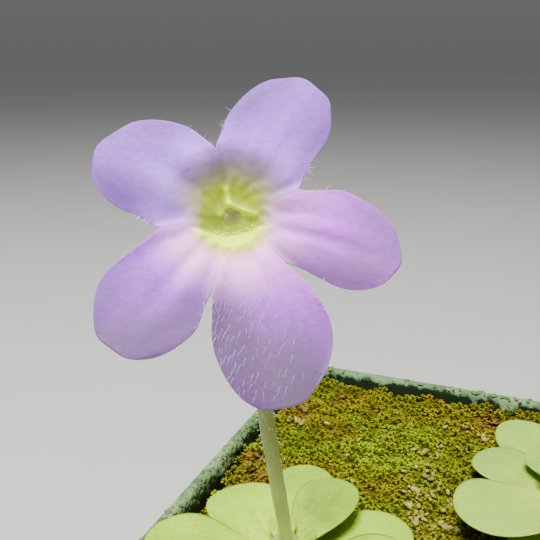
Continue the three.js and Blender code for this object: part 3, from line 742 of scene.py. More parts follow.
# %% Petal mesh
TUBE = [(0.95, 7.6), (1.35, 7.1), (1.6, 6.2), (1.6, 4.2), (1.5, 2.9)]  # radius and depth, from the back
TUBE_ROWS, FUNNEL_ROWS, LIMB_ROWS, LOBE_COLUMNS = 8, 18, 64, 44
LINING_ROOM = 0.12  # how far the funnel drops back, to leave room for the lining of the mouth


def funnel_depth(inset, curve=0.415):
    """Depth of the funnel some way in from the throat's edge, starting with the petals' own slope."""
    return THROAT_DEPTH + 0.47 * inset + curve * inset**2


def tube_rings():
    """Radius and depth of each ring from the back of the tube to the throat."""
    at = np.linspace(0, len(TUBE) - 1, TUBE_ROWS, endpoint=False)
    radius, depth = (np.interp(at, range(len(TUBE)), [ring[k] for ring in TUBE]) for k in (0, 1))
    inset = np.linspace(THROAT_RADIUS - TUBE[-1][0], 0, FUNNEL_ROWS, endpoint=False)
    funnel = funnel_depth(inset) + LINING_ROOM * smooth(inset / 0.8)
    return np.append(radius, THROAT_RADIUS - inset), np.append(depth, funnel)


def petal_part(i):
    """Points, faces and marks of one lobe with its share of the funnel and the tube."""
    lobe = LOBES[i]
    u, v = sheet_grid(LIMB_ROWS, LOBE_COLUMNS)
    v = 1.25 * v - 0.25 * v**3  # columns crowd a little towards the edges
    radius, depth = tube_rings()
    rows = len(radius)
    spot = turned(radius[:, None], lobe["heading"] + mix(*lobe_turns(i), (v[0] + 1) / 2))
    tube = raised(spot, throat_relief(spot) * smooth((2.6 - depth) / 1.2)[:, None] - depth[:, None])
    points = np.concatenate([tube, lobe_surface(i, u, v)]).reshape(-1, 3)
    lengthways = np.concatenate([np.zeros((rows, LOBE_COLUMNS + 1)), u]).ravel()
    sideways = np.concatenate([np.repeat(v[:1], rows, axis=0), v]).ravel()
    (left_base, left_tip), (right_base, right_tip) = lobe["side_light_tones"]
    out = smooth((lengthways - 0.25) / 0.55)
    # painted shade, or below 0 painted highlight, on each side of the lobe
    side_light = np.where(sideways < 0, mix(left_base, left_tip, out), mix(right_base, right_tip, out))
    side_light = side_light * smooth((np.abs(sideways) - 0.05) / 0.7) * smooth(lengthways / 0.25)
    # painted shade on the lobe's end, where it bends away from the light, leaning to one side
    leant = lengthways - lobe["end_shade_from"] + 0.3 * sideways * lobe["end_shade_side"]
    from_centre = np.hypot(points[:, 0], points[:, 1])
    marks = {
        "along": lengthways,
        "across": sideways,
        "from_centre": from_centre,
        "upward": points[:, 1] / np.maximum(from_centre, 0.1),
        "pink": np.full(len(points), lobe["pink"]),
        "shade": lobe["end_shade"] * smooth(leant / 0.62),
        "painted_side_shade": np.maximum(side_light, 0),
        "painted_side_highlight": np.maximum(-side_light, 0),
    }
    return points, grid_faces(rows + LIMB_ROWS, LOBE_COLUMNS), marks | mouth_marks(flat_spot(points))


petal_parts = [petal_part(i) for i in range(len(LOBES))]
petal_points, petal_faces = together([(points, faces) for points, faces, _ in petal_parts])
petal_marks = {m: np.concatenate([part[2][m] for part in petal_parts]) for m in petal_parts[0][2]}
petal_points, petal_quads, petal_marks = weld(petal_points, petal_faces[0], petal_marks)
print("petal sheet:", len(petal_points), "points")

# %% [markdown]
# ## The finish of the petals
# A butterwort's petal is thin, moist and velvety. Light goes into it and comes out softened, so the shader
# has some subsurface scattering and a little sheen. The colour runs from bluish lilac on the upper lobes to
# pinkish lilac on the lower ones and pales towards the mouth. Painted shade greys the ends of the lobes,
# where they bend away from the light, darkens edges that bend away and the lobes behind the clefts, and
# turns the hollow above the mouth grey-brown. Painted highlights lighten a few lit folds. The mouth itself is
# a ring of yellow-green, brightest on the lower lip, with painted shade deep in it and a painted highlight on
# the edge of its roof. The masks for these zones are a node group.

# %% Flower colours
LILAC_BLUE, LILAC_PINK = paint(155, 88, 244), paint(217, 80, 250)
LILAC_DEEP, LILAC_PALE, LILAC_VEIN = paint(141, 91, 197), paint(226, 176, 252), paint(140, 88, 206)
# painted shade: grey and olive for the hollow above the mouth
CREAM_PINK, SHADE_ABOVE_GREY, SHADE_ABOVE_OLIVE = paint(255, 184, 246), paint(142, 132, 124), paint(150, 144, 100)
# painted shade: grey-lilac for the ends of the lobes, deep lilac for shaded edges and clefts
LILAC_SHADE, LILAC_SIDE_SHADOW, LILAC_MIST = paint(110, 95, 113), paint(116, 76, 160), paint(150, 148, 150)
# painted highlight: bright lilac and pink for lit folds; painted shadow: dull pink for shaded edges
LILAC_LIT, PINK_LIT, PINK_SIDE_SHADOW = paint(184, 116, 255), paint(255, 140, 255), paint(112, 84, 122)
MOUTH_BLUSH, CREAM_WARM = paint(190, 156, 160), paint(240, 172, 186)
# painted shade: a dark olive deep in the mouth
MOUTH_GREEN, MOUTH_SIDE, HOLE_SHADE_OLIVE = paint(156, 172, 14), paint(122, 138, 10), paint(112, 120, 44)
LIP_YELLOW, RIDGE_PALE, FLOOR_OLIVE = paint(218, 250, 0), paint(220, 250, 6), paint(146, 160, 32)
STIGMA_OLIVE, STIGMA_PALE, THROAT_SHADE = paint(104, 101, 62), paint(114, 114, 62), paint(118, 134, 20)
# painted light: a paler olive for the stigma's root, which lies in the roof's shadow
STIGMA_ROOT_LIT = paint(168, 168, 112)
print("bluest and pinkest lilac:", np.round([LILAC_BLUE[:3], LILAC_PINK[:3]], 2).tolist())

# %% Mouth masks
mouth, nodes, given = new_group("mouth", {"From Centre": 5, "Upward": 0})
from_centre, upward = given["From Centre"], given["Upward"]
ragged = nodes.plus(from_centre, nodes.swing(nodes.noise(0.6, 3), 1.3))
below, above = nodes.fade(upward, 0.1, -0.7), nodes.fade(upward, -0.25, 0.6)
give(
    mouth,
    {
        "Ring": nodes.fade(nodes.math("SUBTRACT", ragged, nodes.times(below, 0.4)), 3.9, 2.4),
        "Pale": nodes.times(nodes.fade(ragged, 9, 4.2), below),
        # painted shade in the hollow above the mouth
        "Shade Above": nodes.times(nodes.fade(ragged, 6.8, 3.9), above),
        "Mist": nodes.times(nodes.fade(from_centre, 11, 5), nodes.fade(upward, -0.5, 0.3)),
        "Near": nodes.fade(ragged, 5, 3.3),
    },
)

# %% Petal material
PETAL_VEINS = [(2.5, 0.14, 0.05, 0.1), (5, 0.16, 0.35, 0.07), (10, 0.2, 0.6, 0.05)]  # the last is strength
petal_material, nodes = new_finish(
    "lilac_petal",
    {"Roughness": 0.6, "Specular IOR Level": 0.18, "Sheen Weight": 0.04, "Sheen Roughness": 0.5}
    | soft(0.3, 0.5, (1.0, 0.8, 1.0)),
)
along, across, from_centre = (nodes.mark(m) for m in ("along", "across", "from_centre"))
upward, pink = nodes.mark("upward"), nodes.mark("pink")
cloud = nodes.use(patches, {"Large": 4.5, "Small": 0.7})
masks = nodes.use(mouth, {"From Centre": from_centre, "Upward": upward})

lilac = nodes.blend(pink, LILAC_BLUE, LILAC_PINK)
lilac = nodes.over(lilac, LILAC_DEEP, cloud["Broad"], 0.55)
lilac = nodes.over(lilac, LILAC_PALE, cloud["Fine"], 0.15)
for count, width, start, strength in PETAL_VEINS:
    lilac = nodes.over(lilac, LILAC_VEIN, vein_line(nodes, along, across, count, width, start), strength)
streaks = nodes.times(vein_line(nodes, along, across, 3.3, 0.4), pink)
lilac = nodes.over(lilac, LILAC_PALE, nodes.times(streaks, nodes.fade(from_centre, 9.5, 4)), 0.6)
# painted shade: greys the ends of the lobes, where they bend away from the light
lilac = nodes.over(lilac, LILAC_SHADE, nodes.mark("shade"), 0.9)
lilac = nodes.over(lilac, LILAC_MIST, masks["Mist"], 0.3)
lilac = nodes.over(lilac, MOUTH_BLUSH, masks["Near"], 0.75)
lilac = nodes.blend(masks["Pale"], lilac, nodes.blend(masks["Near"], CREAM_PINK, CREAM_WARM))
# painted shadow on edges that bend away from the light and on the lobes behind the clefts
lilac = nodes.over(lilac, nodes.blend(pink, LILAC_SIDE_SHADOW, PINK_SIDE_SHADOW), nodes.mark("painted_side_shade"), 0.9)
# painted highlight on the lit folds near the bases of some lobes
lilac = nodes.blend(nodes.mark("painted_side_highlight"), lilac, nodes.blend(pink, LILAC_LIT, PINK_LIT))
# painted shade in the hollow above the mouth, greyer further out and olive near it
lilac = nodes.over(lilac, nodes.blend(masks["Near"], SHADE_ABOVE_GREY, SHADE_ABOVE_OLIVE), masks["Shade Above"], 0.9)

throat = nodes.blend(nodes.fade(upward, 0.2, 0.85), MOUTH_SIDE, MOUTH_GREEN)
throat = nodes.blend(nodes.mark("roof"), FLOOR_OLIVE, throat)
throat = nodes.over(throat, THROAT_SHADE, cloud["Fine"], 0.3)
# painted shade deep in the mouth
throat = nodes.over(throat, HOLE_SHADE_OLIVE, nodes.mark("hole"), 0.5)
# pale ridges, with a painted highlight on the roof's edge where it turns down
throat = nodes.over(throat, RIDGE_PALE, nodes.mark("ridge"), 0.8)
throat = nodes.blend(nodes.mark("lip"), throat, LIP_YELLOW)
nodes.finish("Base Color", nodes.blend(masks["Ring"], lilac, throat))

domes = nodes.use(skin, {"Cell Size": 0.09})["Domes"]
height = nodes.plus(nodes.times(domes, 0.4), nodes.times(cloud["Fine"], 0.8))
nodes.finish("Normal", nodes.relief(height, 0.05, 0.6))

# %% [markdown]
# The sheet gets its thickness from a Solidify modifier, which thins towards the edges by a vertex group. A
# petal that ends in a fine edge catches the light there, as the real one does.

# %% Petals
PETAL_THICKNESS = 0.34
THIN_FROM, THIN_BY = 0.86, 0.8  # where the thin edge starts, and how much thinner it ends


def thicken(sheet, thickness):
    """Gives a sheet its thickness, away from the face that is seen."""
    solid = sheet.modifiers.new("thickness", "SOLIDIFY")
    solid.thickness, solid.offset = thickness * MM, -1
    return solid


petals = make_piece(
    "petals", out_of_flower(petal_points), petal_quads, petal_material, ["corolla"], petal_marks
)
on_lobe = petal_marks["along"] > 0.29
nearness = np.maximum(np.abs(petal_marks["across"]), petal_marks["along"]) * on_lobe
thinness = np.round(smooth((nearness - THIN_FROM) / (1 - THIN_FROM)), 2)
fullness = petals.vertex_groups.new(name="fullness")
for level in np.unique(thinness):
    fullness.add(np.flatnonzero(thinness == level).tolist(), float(1 - THIN_BY * level), "REPLACE")
thicken(petals, PETAL_THICKNESS).vertex_group = "fullness"
print("points in the thin edge:", int((thinness > 0).sum()))

# %% [markdown]
# ## Hairs on the petals
# Fine pale hairs lie on the lowest lobe, and short ones stand along the edges near the clefts. Blender's own
# hair is lost in an export, so each hair is a slim three-sided tube that tapers. Roots that are only random
# crowd together here and there. So on the lowest lobe they follow two irrational steps, which spread evenly,
# and seeded random numbers just stir them a little.

# %% Petal hairs
HAIR_THICKNESS, LOW_HAIRS, FACE_HAIRS = 0.029, 84, 40
EVEN_STEPS = 0.7549, 0.5698
EDGE_HAIRS = [(0, 1, 14), (0, -1, 10), (1, -1, 16), (1, 1, 14), (2, -1, 8), (2, 1, 12), (3, -1, 16),
              (3, 1, 12), (4, -1, 6), (4, 1, 14)]  # lobe, side and count
hair_material, nodes = new_finish("clear_hair", {"Roughness": 0.3} | soft(0.4, 0.1))
nodes.finish("Base Color", nodes.blend(nodes.noise(0.4), paint(232, 214, 248), paint(206, 178, 232)))
draw = np.random.default_rng(17)


def lobe_hairs(i, u, v, lean, lengths):
    """Roots, directions and lengths of hairs on lobe i; lean is a flat direction in the flower's frame."""
    roots, normals = on_sheet(lambda a, b: lobe_surface(i, a, b), u, v)
    stand = unit(normals * draw.uniform(0.35, 0.7, (len(u), 1)) + raised(lean, 0))
    return roots, stand, lengths


def low_hairs(count):
    """Long hairs, evenly over the lowest lobe, that lie down along it."""
    along, across = [(np.arange(count) * step + draw.uniform(0, 0.03, count)) % 1 for step in EVEN_STEPS]
    u, v = mix(0.36, 0.93, along), mix(-0.92, 0.35, across**1.5)
    lean = turned(1, draw.normal(248, 12, count))
    return lobe_hairs(3, u, v, lean, draw.uniform(0.35, 0.95, count))


def edge_hairs(i, sign, count):
    """Hairs that stand out from one edge of a lobe, near its cleft."""
    u = draw.uniform(0.31, 0.68, count)
    v = sign * draw.uniform(0.93, 1, count)
    outward = turned(1, LOBES[i]["heading"] + sign * draw.normal(75, 18, count))
    return lobe_hairs(i, u, v, outward, draw.uniform(0.25, 0.9, count))


def face_hairs(i, count):
    """Very short hairs on the inner part of a lobe, leaning every way."""
    u, v = draw.uniform(0.1, 0.4, count), draw.uniform(-0.8, 0.8, count)
    lean = turned(1, draw.uniform(0, 360, count))
    return lobe_hairs(i, u, v, lean, draw.uniform(0.15, 0.4, count))


hair_sets = [low_hairs(LOW_HAIRS)]
hair_sets += [edge_hairs(*where) for where in EDGE_HAIRS]
hair_sets += [face_hairs(i, FACE_HAIRS) for i in (2, 3, 4)]
roots, ways, lengths = (np.concatenate([s[k] for s in hair_sets]) for k in range(3))
hair_points, hair_faces, _ = hairs(out_of_flower(roots), ways @ FLOWER_AXES, lengths, HAIR_THICKNESS)
make_piece("petal_hairs", hair_points, hair_faces, hair_material)

# %% [markdown]
# ## Inside the mouth
# The mouth has a roof and a floor. The roof comes down in two slopes that meet at a peak, with a ridge along
# each slope, and the floor behind its edge lies deeper and rises again to the lower lip. A lining is laid in
# the funnel for this: a round sheet of rings, whose depth is mixed from the two. It leaves the petals along
# their own slope and has their finish, so that no line shows where it starts.

# %% Lining of the mouth
LINING_RADIUS, LINING_HOLE, LINING_THICKNESS = THROAT_RADIUS + 0.1, 0.3, 0.12
MOUTH_FLOOR, LINING_SINK = 2.5, 0.004
RINGS, RING_POINTS = 48, 160


def floor_depth(spot):
    """Depth of the mouth's floor below the flower's face, less on the right."""
    inset = np.maximum(THROAT_RADIUS - np.abs(spot), 0)
    deepest = MOUTH_FLOOR - 0.35 * smooth((spot.real - 0.2) / 1.6)
    room = deepest - funnel_depth(inset)
    return deepest - 0.5 * (room + np.sqrt(room**2 + 0.04))


def lining_height(spot):
    """Height of the lining in the flower's frame."""
    roof = funnel_depth(np.maximum(THROAT_RADIUS - np.abs(spot), 0), -0.02)
    return throat_relief(spot) - mix(floor_depth(spot), roof, roof_share(spot)) - LINING_SINK


radius = np.linspace(LINING_RADIUS, LINING_HOLE, RINGS + 1)
spot = turned(radius[:, None], np.arange(RING_POINTS) * 360 / RING_POINTS)
lining_points = out_of_flower(raised(spot, lining_height(spot)).reshape(-1, 3))
lining_quads = grid_faces(RINGS, RING_POINTS, closed=True)[:, ::-1]
lining_marks = mouth_marks(spot) | {"from_centre": np.abs(spot), "upward": spot.imag / np.abs(spot)}
lining = make_piece(
    "throat_lining", lining_points, lining_quads, petal_material, (), lining_marks
)
thicken(lining, LINING_THICKNESS)

# %% [markdown]
# Short club-shaped hairs stand in the mouth, closest together along the inner edge of the lower lip, where
# their tips make a row of beads with dark gaps between. Each is a small lathed club.

# %% Throat hairs
CLUB_PROFILE = [(0, 0), (0.3, 0), (0.26, 0.5), (0.5, 1.3), (0.55, 1.8), (0.3, 2.2), (0, 2.3)]
CLUB_SIDES, LIP_CLUBS, OTHER_CLUBS, CLUB_SINK = 7, 60, 8, 0.05
club_material, nodes = new_finish(
    "throat_club", {"Roughness": 0.65, "Specular IOR Level": 0.15} | soft(0.4, 0.3)
)
club_colour = nodes.blend(nodes.mark("low"), MOUTH_GREEN, LIP_YELLOW)
nodes.finish("Base Color", nodes.over(club_colour, MOUTH_GREEN, nodes.noise(0.3), 0.6))


def lathe(profile, sides):
    """A round body from radii and heights."""
    turn = np.arange(sides) * 360 / sides
    rings = [raised(turned(radius, turn), height) for radius, height in profile]
    return np.concatenate(rings), grid_faces(len(rings) - 1, sides, closed=True)[:, ::-1]


club, club_quads = lathe(CLUB_PROFILE, CLUB_SIDES)
lip_x = draw.normal(0.1, 1.15, LIP_CLUBS).clip(-2.6, 2.3)
lip_row = lip_x + 1j * (lip_edge(lip_x) + 0.13 + draw.normal(0, 0.12, LIP_CLUBS))
others = turned(draw.uniform(1.3, 2.7, OTHER_CLUBS), draw.uniform(0, 360, OTHER_CLUBS))
spot = np.concatenate([lip_row, others])
outward = spot / np.abs(spot)
ways = unit(raised(-0.6 * outward, 0.8))
roots = raised(spot, lining_height(spot)) - CLUB_SINK * ways
sizes = np.concatenate([draw.uniform(0.08, 0.15, LIP_CLUBS), draw.uniform(0.05, 0.09, OTHER_CLUBS)])
club_points, club_faces = copies(club, club_quads, roots, axes_on(ways), sizes)
club_marks = {"low": np.repeat(smooth(-1.4 * outward.imag), len(club))}
make_piece("throat_hairs", out_of_flower(club_points), club_faces, club_material, (), club_marks)

# %% [markdown]
# The stigma's flap is a small blade with a fringed edge, bent over the stamens like an apron. Ovary, style
# and stamens stay simple in form, but they are there, for anyone who looks down the tube.

# %% Stigma and ovary
FLAP = {"length": 2.4, "width": 2.0, "widest_at": 1.3, "swell": 1.0, "start": 0.5j}
FLAP_STEPS, FLAP_LIFT = 20, 0.13
FLAP_SINK = 0.02  # how far the flap's margin sinks into the floor of the mouth
OVARY = [(0.01, -8.1), (0.45, -8.05), (0.68, -7.4), (0.62, -6.4), (0.4, -5.8), (0.3, -5.2), (0.3, -3.3),
         (0.01, -3.2)]  # radius and height
stigma_material, nodes = new_finish(
    "stigma_skin", {"Roughness": 0.7, "Specular IOR Level": 0.15} | soft(0.3, 0.3)
)
olive = nodes.blend(nodes.fade(nodes.noise(0.35, 3), 0.5, 0.9), STIGMA_OLIVE, STIGMA_PALE)
# painted light on the root end of the flap, which lies in the shadow of the roof
olive = nodes.blend(nodes.fade(nodes.mark("deep"), 0.3, 0.9), olive, STIGMA_ROOT_LIT)
nodes.finish("Base Color", nodes.blend(nodes.mark("margin"), olive, FLOOR_OLIVE))
nodes.finish("Normal", pebbled(nodes, 0.07, 0.01))


def flower_turned(points, heading):
    """Turns points of the flower's frame about its axis, so that down points to the heading."""
    return raised(turned(1, heading - 270) * flat_spot(points), points[:, 2])


def flap_surface(u, v, lift):
    """One face of the flap, laid on the floor of the mouth."""
    spot = blade_spot(FLAP, u, v)
    fringe = 1 + 0.05 * np.sin(26 * np.angle(spot - 1.0)) * np.maximum(np.abs(v), u) ** 6
    x, y = spot.real * fringe, spot.imag * fringe
    body = lift * (1 - np.maximum(np.abs(v), u**2) ** 2)
    flat = y + 1j * (0.9 - 0.76 * x)
    below = turned(1, SPUR_HEADING - 270) * flat
    return raised(flat, throat_relief(below) - floor_depth(below) - FLAP_SINK + body)


def two_faces(front, back):
    """A pad from its front and its back, which meet along the rim."""
    quads = grid_faces(front.shape[0] - 1, front.shape[1] - 1)
    return [(front.reshape(-1, 3), quads), (back.reshape(-1, 3), quads[:, ::-1])]


u, v = sheet_grid(FLAP_STEPS, FLAP_STEPS)
flap = two_faces(flap_surface(u, v, FLAP_LIFT), flap_surface(u, v, -FLAP_LIFT))
pistil_points, pistil_faces = together([*flap, lathe(OVARY, 20)])
flap_margin = np.tile((np.maximum(np.abs(v), u) ** 5).ravel(), 2)
no_flap = np.zeros(len(pistil_points) - len(flap_margin))
pistil_marks = {
    "margin": np.append(flap_margin, no_flap),
    "deep": np.append(np.tile(1 - u.ravel(), 2), no_flap),
}
pistil_points = out_of_flower(flower_turned(pistil_points, SPUR_HEADING))
make_piece(
    "stigma_and_ovary", pistil_points, pistil_faces, stigma_material, ["pistil"], pistil_marks
)

# %% Stamens
STAMEN_ROOT, STAMEN_WAY = (0.8, -0.5, -6.4), (-0.05, -0.15, 2.0)
ANTHER = (0.34, 0.24, 0.4)  # half its sizes
stamen_material, nodes = new_finish("stamen_skin", {"Roughness": 0.5} | soft(0.3, 0.2))
nodes.finish("Base Color", nodes.blend(nodes.noise(0.3), paint(232, 224, 170), paint(214, 200, 132)))


def rod(path, radius, sides):
    """A round rod along a path of points, with a radius for each."""
    ahead = unit(np.gradient(path, axis=0))
    helper = np.array([1.0, 0, 0]) if abs(ahead[0][0]) < 0.8 else np.array([0, 1.0, 0])
    first = unit(np.cross(helper, ahead))
    second = np.cross(ahead, first)
    turn = np.arange(sides) * 2 * np.pi / sides
    ring = np.cos(turn)[:, None] * first[:, None] + np.sin(turn)[:, None] * second[:, None]
    points = path[:, None] + np.reshape(radius, (-1, 1, 1)) * ring
    return points.reshape(-1, 3), grid_faces(len(path) - 1, sides, closed=True)[:, ::-1]


def stamen(side):
    """A bowed thread with an anther on its end; side is -1 or 1."""
    t = np.linspace(0, 1, 12)[:, None]
    path = (STAMEN_ROOT + t * STAMEN_WAY) * [side, 1, 1]
    path[:, 0] += side * 0.08 * np.sin(np.pi * t[:, 0])
    anther_points, anther_faces = ball(10, 6)
    return [rod(path, np.linspace(0.25, 0.16, 12), 8), (anther_points * ANTHER + path[-1], anther_faces)]


stamen_points, stamen_faces = together(stamen(-1) + stamen(1))
stamen_points = out_of_flower(flower_turned(stamen_points, SPUR_HEADING))
make_piece("stamens", stamen_points, stamen_faces, stamen_material, ["stamen_left", "stamen_right"])

# %% [markdown]
# ## Spur and calyx
# Behind the face a slender spur, which holds the nectar, runs back and down from the tube. A small green cup
# with five pointed sepals holds the tube. Both are pale green to lilac and carry short hairs that end in a
# gland, as most green parts of this plant do.

# %% Spur
SPUR_POINTS = [(1.6, 3.2), (3.19, 4.4), (5.44, 7.0), (7.24, 10.3), (7.78, 13.4)]  # out, and back
SPUR_STEPS, SPUR_SIDES = 44, 20
spur_material, nodes = new_finish("spur_skin", {"Roughness": 0.5} | soft(0.35, 0.4))
spur_colour = nodes.blend(nodes.mark("along"), paint(198, 180, 214), paint(196, 198, 138))
spur_line = vein_line(nodes, 1, nodes.mark("across"), 7, 0.2)
nodes.finish("Base Color", nodes.over(spur_colour, paint(160, 136, 176), spur_line, 0.3))
nodes.finish("Normal", pebbled(nodes, 0.09, 0.03))


def smooth_path(points, count):
    """A smooth curve through points, evenly sampled."""
    points = np.array(points, float)
    ends = np.concatenate([[2 * points[0] - points[1]], points, [2 * points[-1] - points[-2]]])
    at = np.linspace(0, len(points) - 1, count)
    k = np.minimum(at.astype(int), len(points) - 2)
    t = (at - k)[:, None]
    a, b, c, d = (ends[k + n] for n in range(4))
    return 0.5 * (2 * b + (c - a) * t + (2 * a - 5 * b + 4 * c - d) * t**2 + (3 * b - a - 3 * c + d) * t**3)


def rod_marks(share, sides):
    """How far along a rod, and how far from its seam, each of its points lies."""
    across = np.abs(np.linspace(-1, 1, sides))
    return {"along": np.repeat(share, sides), "across": np.tile(across, len(share))}


out, depth = smooth_path(SPUR_POINTS, SPUR_STEPS).T
share = np.linspace(0, 1, SPUR_STEPS)
round_end = np.sqrt(np.clip(1 - ((share - 0.9) / 0.1).clip(0) ** 2, 0.002, 1))
spur_path = raised(out * turned(1, SPUR_HEADING), -depth)
spur_points, spur_faces = rod(spur_path, mix(0.9, 0.5, share) * round_end, SPUR_SIDES)
spur_points = out_of_flower(spur_points)
make_piece("spur", spur_points, spur_faces, spur_material, (), rod_marks(share, SPUR_SIDES))

# %% Calyx
CALYX_BACK, CUP_SIDES = 8.9, 40
CUP = [(0.01, -CALYX_BACK), (1.5, -CALYX_BACK), (2.3, -8.6), (2.75, -8.1), (3.1, -7.4), (3.25, -6.85),
       (3.05, -6.75), (2.8, -7.2), (2.5, -7.9), (1.9, -8.2), (0.01, -8.25)]  # radius and height
SEPAL = {"length": 4.0, "width": 2.0, "widest_at": 1.3, "swell": 1.0, "start": 0.85j}
SEPAL_TURNS, SEPAL_HALF = (-132, -62, 0, 62, 132), 0.28
SEPAL_ROWS, SEPAL_COLUMNS = 18, 12
sepal_material, nodes = new_finish("sepal_skin", {"Roughness": 0.45} | soft(0.2, 0.4))
cloud = nodes.use(patches, {"Large": 2, "Small": 0.4})
sepal_green = nodes.blend(cloud["Broad"], paint(132, 148, 74), paint(160, 168, 92))
nodes.finish("Base Color", nodes.over(sepal_green, paint(116, 104, 70), cloud["Fine"], 0.3))
nodes.finish("Normal", pebbled(nodes, 0.1, 0.04))


def sepal_surface(u, v, lift):
    """One face of a sepal, leaning out from the cup's rim."""
    spot = blade_spot(SEPAL, u, v)
    x, y = spot.real, spot.imag
    body = lift * np.sqrt(np.clip(1 - np.maximum(np.abs(v), u**2) ** 4, 0, 1))
    keel = 0.12 * bump_at(y, 0, 0.25) * (lift < 0)
    return np.stack([2.75 + 0.4 * x - 0.9 * (body - keel), y, -7.35 + 0.9 * x + 0.4 * body], axis=-1)


def sepal(turn):
    """One sepal, turned from the spur by some degrees."""
    u, v = sheet_grid(SEPAL_ROWS, SEPAL_COLUMNS)
    faces = two_faces(sepal_surface(u, v, SEPAL_HALF), sepal_surface(u, v, -SEPAL_HALF))
    return [(flower_turned(points, SPUR_HEADING + 90 + turn), quads) for points, quads in faces]


sepals = [face for turn in SEPAL_TURNS for face in sepal(turn)]
calyx_points, calyx_faces = together([lathe(CUP, CUP_SIDES)] + sepals)
make_piece("sepals", out_of_flower(calyx_points), calyx_faces, sepal_material, ["calyx"])

# %% [markdown]
# ## The flower stalk
# The stalk rises bare from the left rosette, leans forward, and nods where it meets the calyx. It is a long
# thin cone along a straight line that ends in a smooth bend. Short gland hairs all over it give it a faint
# halo against the light.

# %% Stalk
STALK_RADIUS, STALK_SIDES = 1.08, 28
STRAIGHT_SHARE = 0.9  # how much of the way to the nod is straight
stalk_material, nodes = new_finish("stalk_skin", {"Roughness": 0.42} | soft(0.3, 0.7))
cloud = nodes.use(patches, {"Large": 6, "Small": 0.8})
foot_to_top = nodes.fade(nodes.mark("along"), 0.02, 0.45)
stalk_green = nodes.blend(foot_to_top, paint(219, 234, 148), paint(130, 143, 69))
stalk_green = nodes.over(stalk_green, paint(129, 125, 66), cloud["Broad"], 0.3)
stalk_line = vein_line(nodes, 1, nodes.mark("across"), 9, 0.25)
nodes.finish("Base Color", nodes.over(stalk_green, paint(130, 128, 84), stalk_line, 0.18))
nodes.finish("Normal", pebbled(nodes, 0.12, 0.03))

left_heart_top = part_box("left_crown")[1].z / MM
stalk_foot = np.array([-21.9, -24.4, left_heart_top + 0.84])
stalk_nod = FLOWER_CENTRE - (CALYX_BACK + 5.5) * face
stalk_top = FLOWER_CENTRE - (CALYX_BACK + 0.3) * face
straight = mix(stalk_foot, stalk_nod, np.linspace(-0.03, STRAIGHT_SHARE, 150)[:, None])
t = np.linspace(0, 1, 24)[1:, None]
bend_start = mix(stalk_foot, stalk_nod, STRAIGHT_SHARE)
bend = (1 - t) ** 2 * bend_start + 2 * t * (1 - t) * stalk_nod + t**2 * stalk_top
stalk_path = np.concatenate([straight, bend])
share = np.linspace(0, 1, len(stalk_path))
knots = 0.03 * np.sin(31 * share + 2) + 0.02 * np.sin(73 * share)
stalk_points, stalk_faces = rod(stalk_path, mix(1.0, 0.94, share) * STALK_RADIUS + knots, STALK_SIDES)
stalk_marks = rod_marks(share, STALK_SIDES)
make_piece("flower_stalk", stalk_points, stalk_faces, stalk_material, ["scape"], stalk_marks)

# %% [markdown]
# The gland hairs of stalk, calyx and spur are the same: a fine clear stem with a tiny ball on its end. One
# function makes them from roots and directions.

# %% Gland hairs
STALK_GLANDS, SPUR_GLANDS, SEPAL_GLANDS, CUP_GLANDS = 350, 120, 260, 60
GLAND_STEM = 0.05
gland_material, nodes = new_finish(
    "gland", {"Roughness": 0.15, "Coat Weight": 0.6, "Coat Roughness": 0.05} | soft(0.3, 0.1)
)
nodes.finish("Base Color", nodes.blend(nodes.noise(0.5), paint(222, 226, 186), paint(204, 208, 160)))


def gland_hairs(name, roots, ways, lengths):
    """Fine stems, each with a gland on its end."""
    stems, stem_faces, tips = hairs(roots, ways, lengths, GLAND_STEM, droop=0.1, steps=3)
    sizes = draw.uniform(0.045, 0.075, len(roots))
    balls, ball_faces = copies(*ball(5, 2), tips, axes_on(ways), sizes)
    points, faces = together([(stems, stem_faces), (balls, ball_faces)])
    make_piece(name, points, faces, gland_material)


def around_rod(points, sides, rows, count):
    """Random places on a rod's surface, with their outward directions."""
    rings = points.reshape(-1, sides, 3)
    row = draw.choice(rows, count)
    place = rings[row, draw.integers(0, sides, count)]
    return place, unit(place - rings.mean(axis=1)[row])


roots, ways = around_rod(stalk_points, STALK_SIDES, np.arange(12, len(stalk_path)), STALK_GLANDS)
ways = unit(ways + draw.normal(0, 0.2, ways.shape))
gland_hairs("stalk_glands", roots, ways, draw.uniform(0.15, 0.4, STALK_GLANDS))

roots, ways = around_rod(spur_points, SPUR_SIDES, np.arange(8, SPUR_STEPS - 1), SPUR_GLANDS)
gland_hairs("spur_glands", roots, ways, draw.uniform(0.15, 0.35, SPUR_GLANDS))

sepal_picks = draw.choice(np.arange(CUP_SIDES * len(CUP), len(calyx_points)), SEPAL_GLANDS)
cup_picks = draw.choice(np.arange(CUP_SIDES, 6 * CUP_SIDES), CUP_GLANDS)
roots = calyx_points[np.concatenate([sepal_picks, cup_picks])]
ways = unit(unit(roots * [1, 1, 0]) + draw.normal(0, 0.35, roots.shape)) @ FLOWER_AXES
gland_hairs("sepal_glands", out_of_flower(roots), ways, draw.uniform(0.15, 0.35, len(roots)))

# %% [markdown]
# ## Leaves
# Each rosette grows one leaf after another, turned by the golden angle, 137.5 degrees. The oldest lie low on
# the moss and the youngest stand in the heart. Every leaf has its own reach and width, and strays a little
# from the rule. A leaf is a fleshy pad: its two faces meet in a rounded edge, its middle is slightly
# swollen, and a faint furrow marks the midrib.

# %% Leaf measures
GOLDEN_ANGLE, LEAF_PITCH = 137.5, 0.42
FIRST_LEAF_HEIGHT, LEAF_BASE_RADIUS = 76.5, 2.3
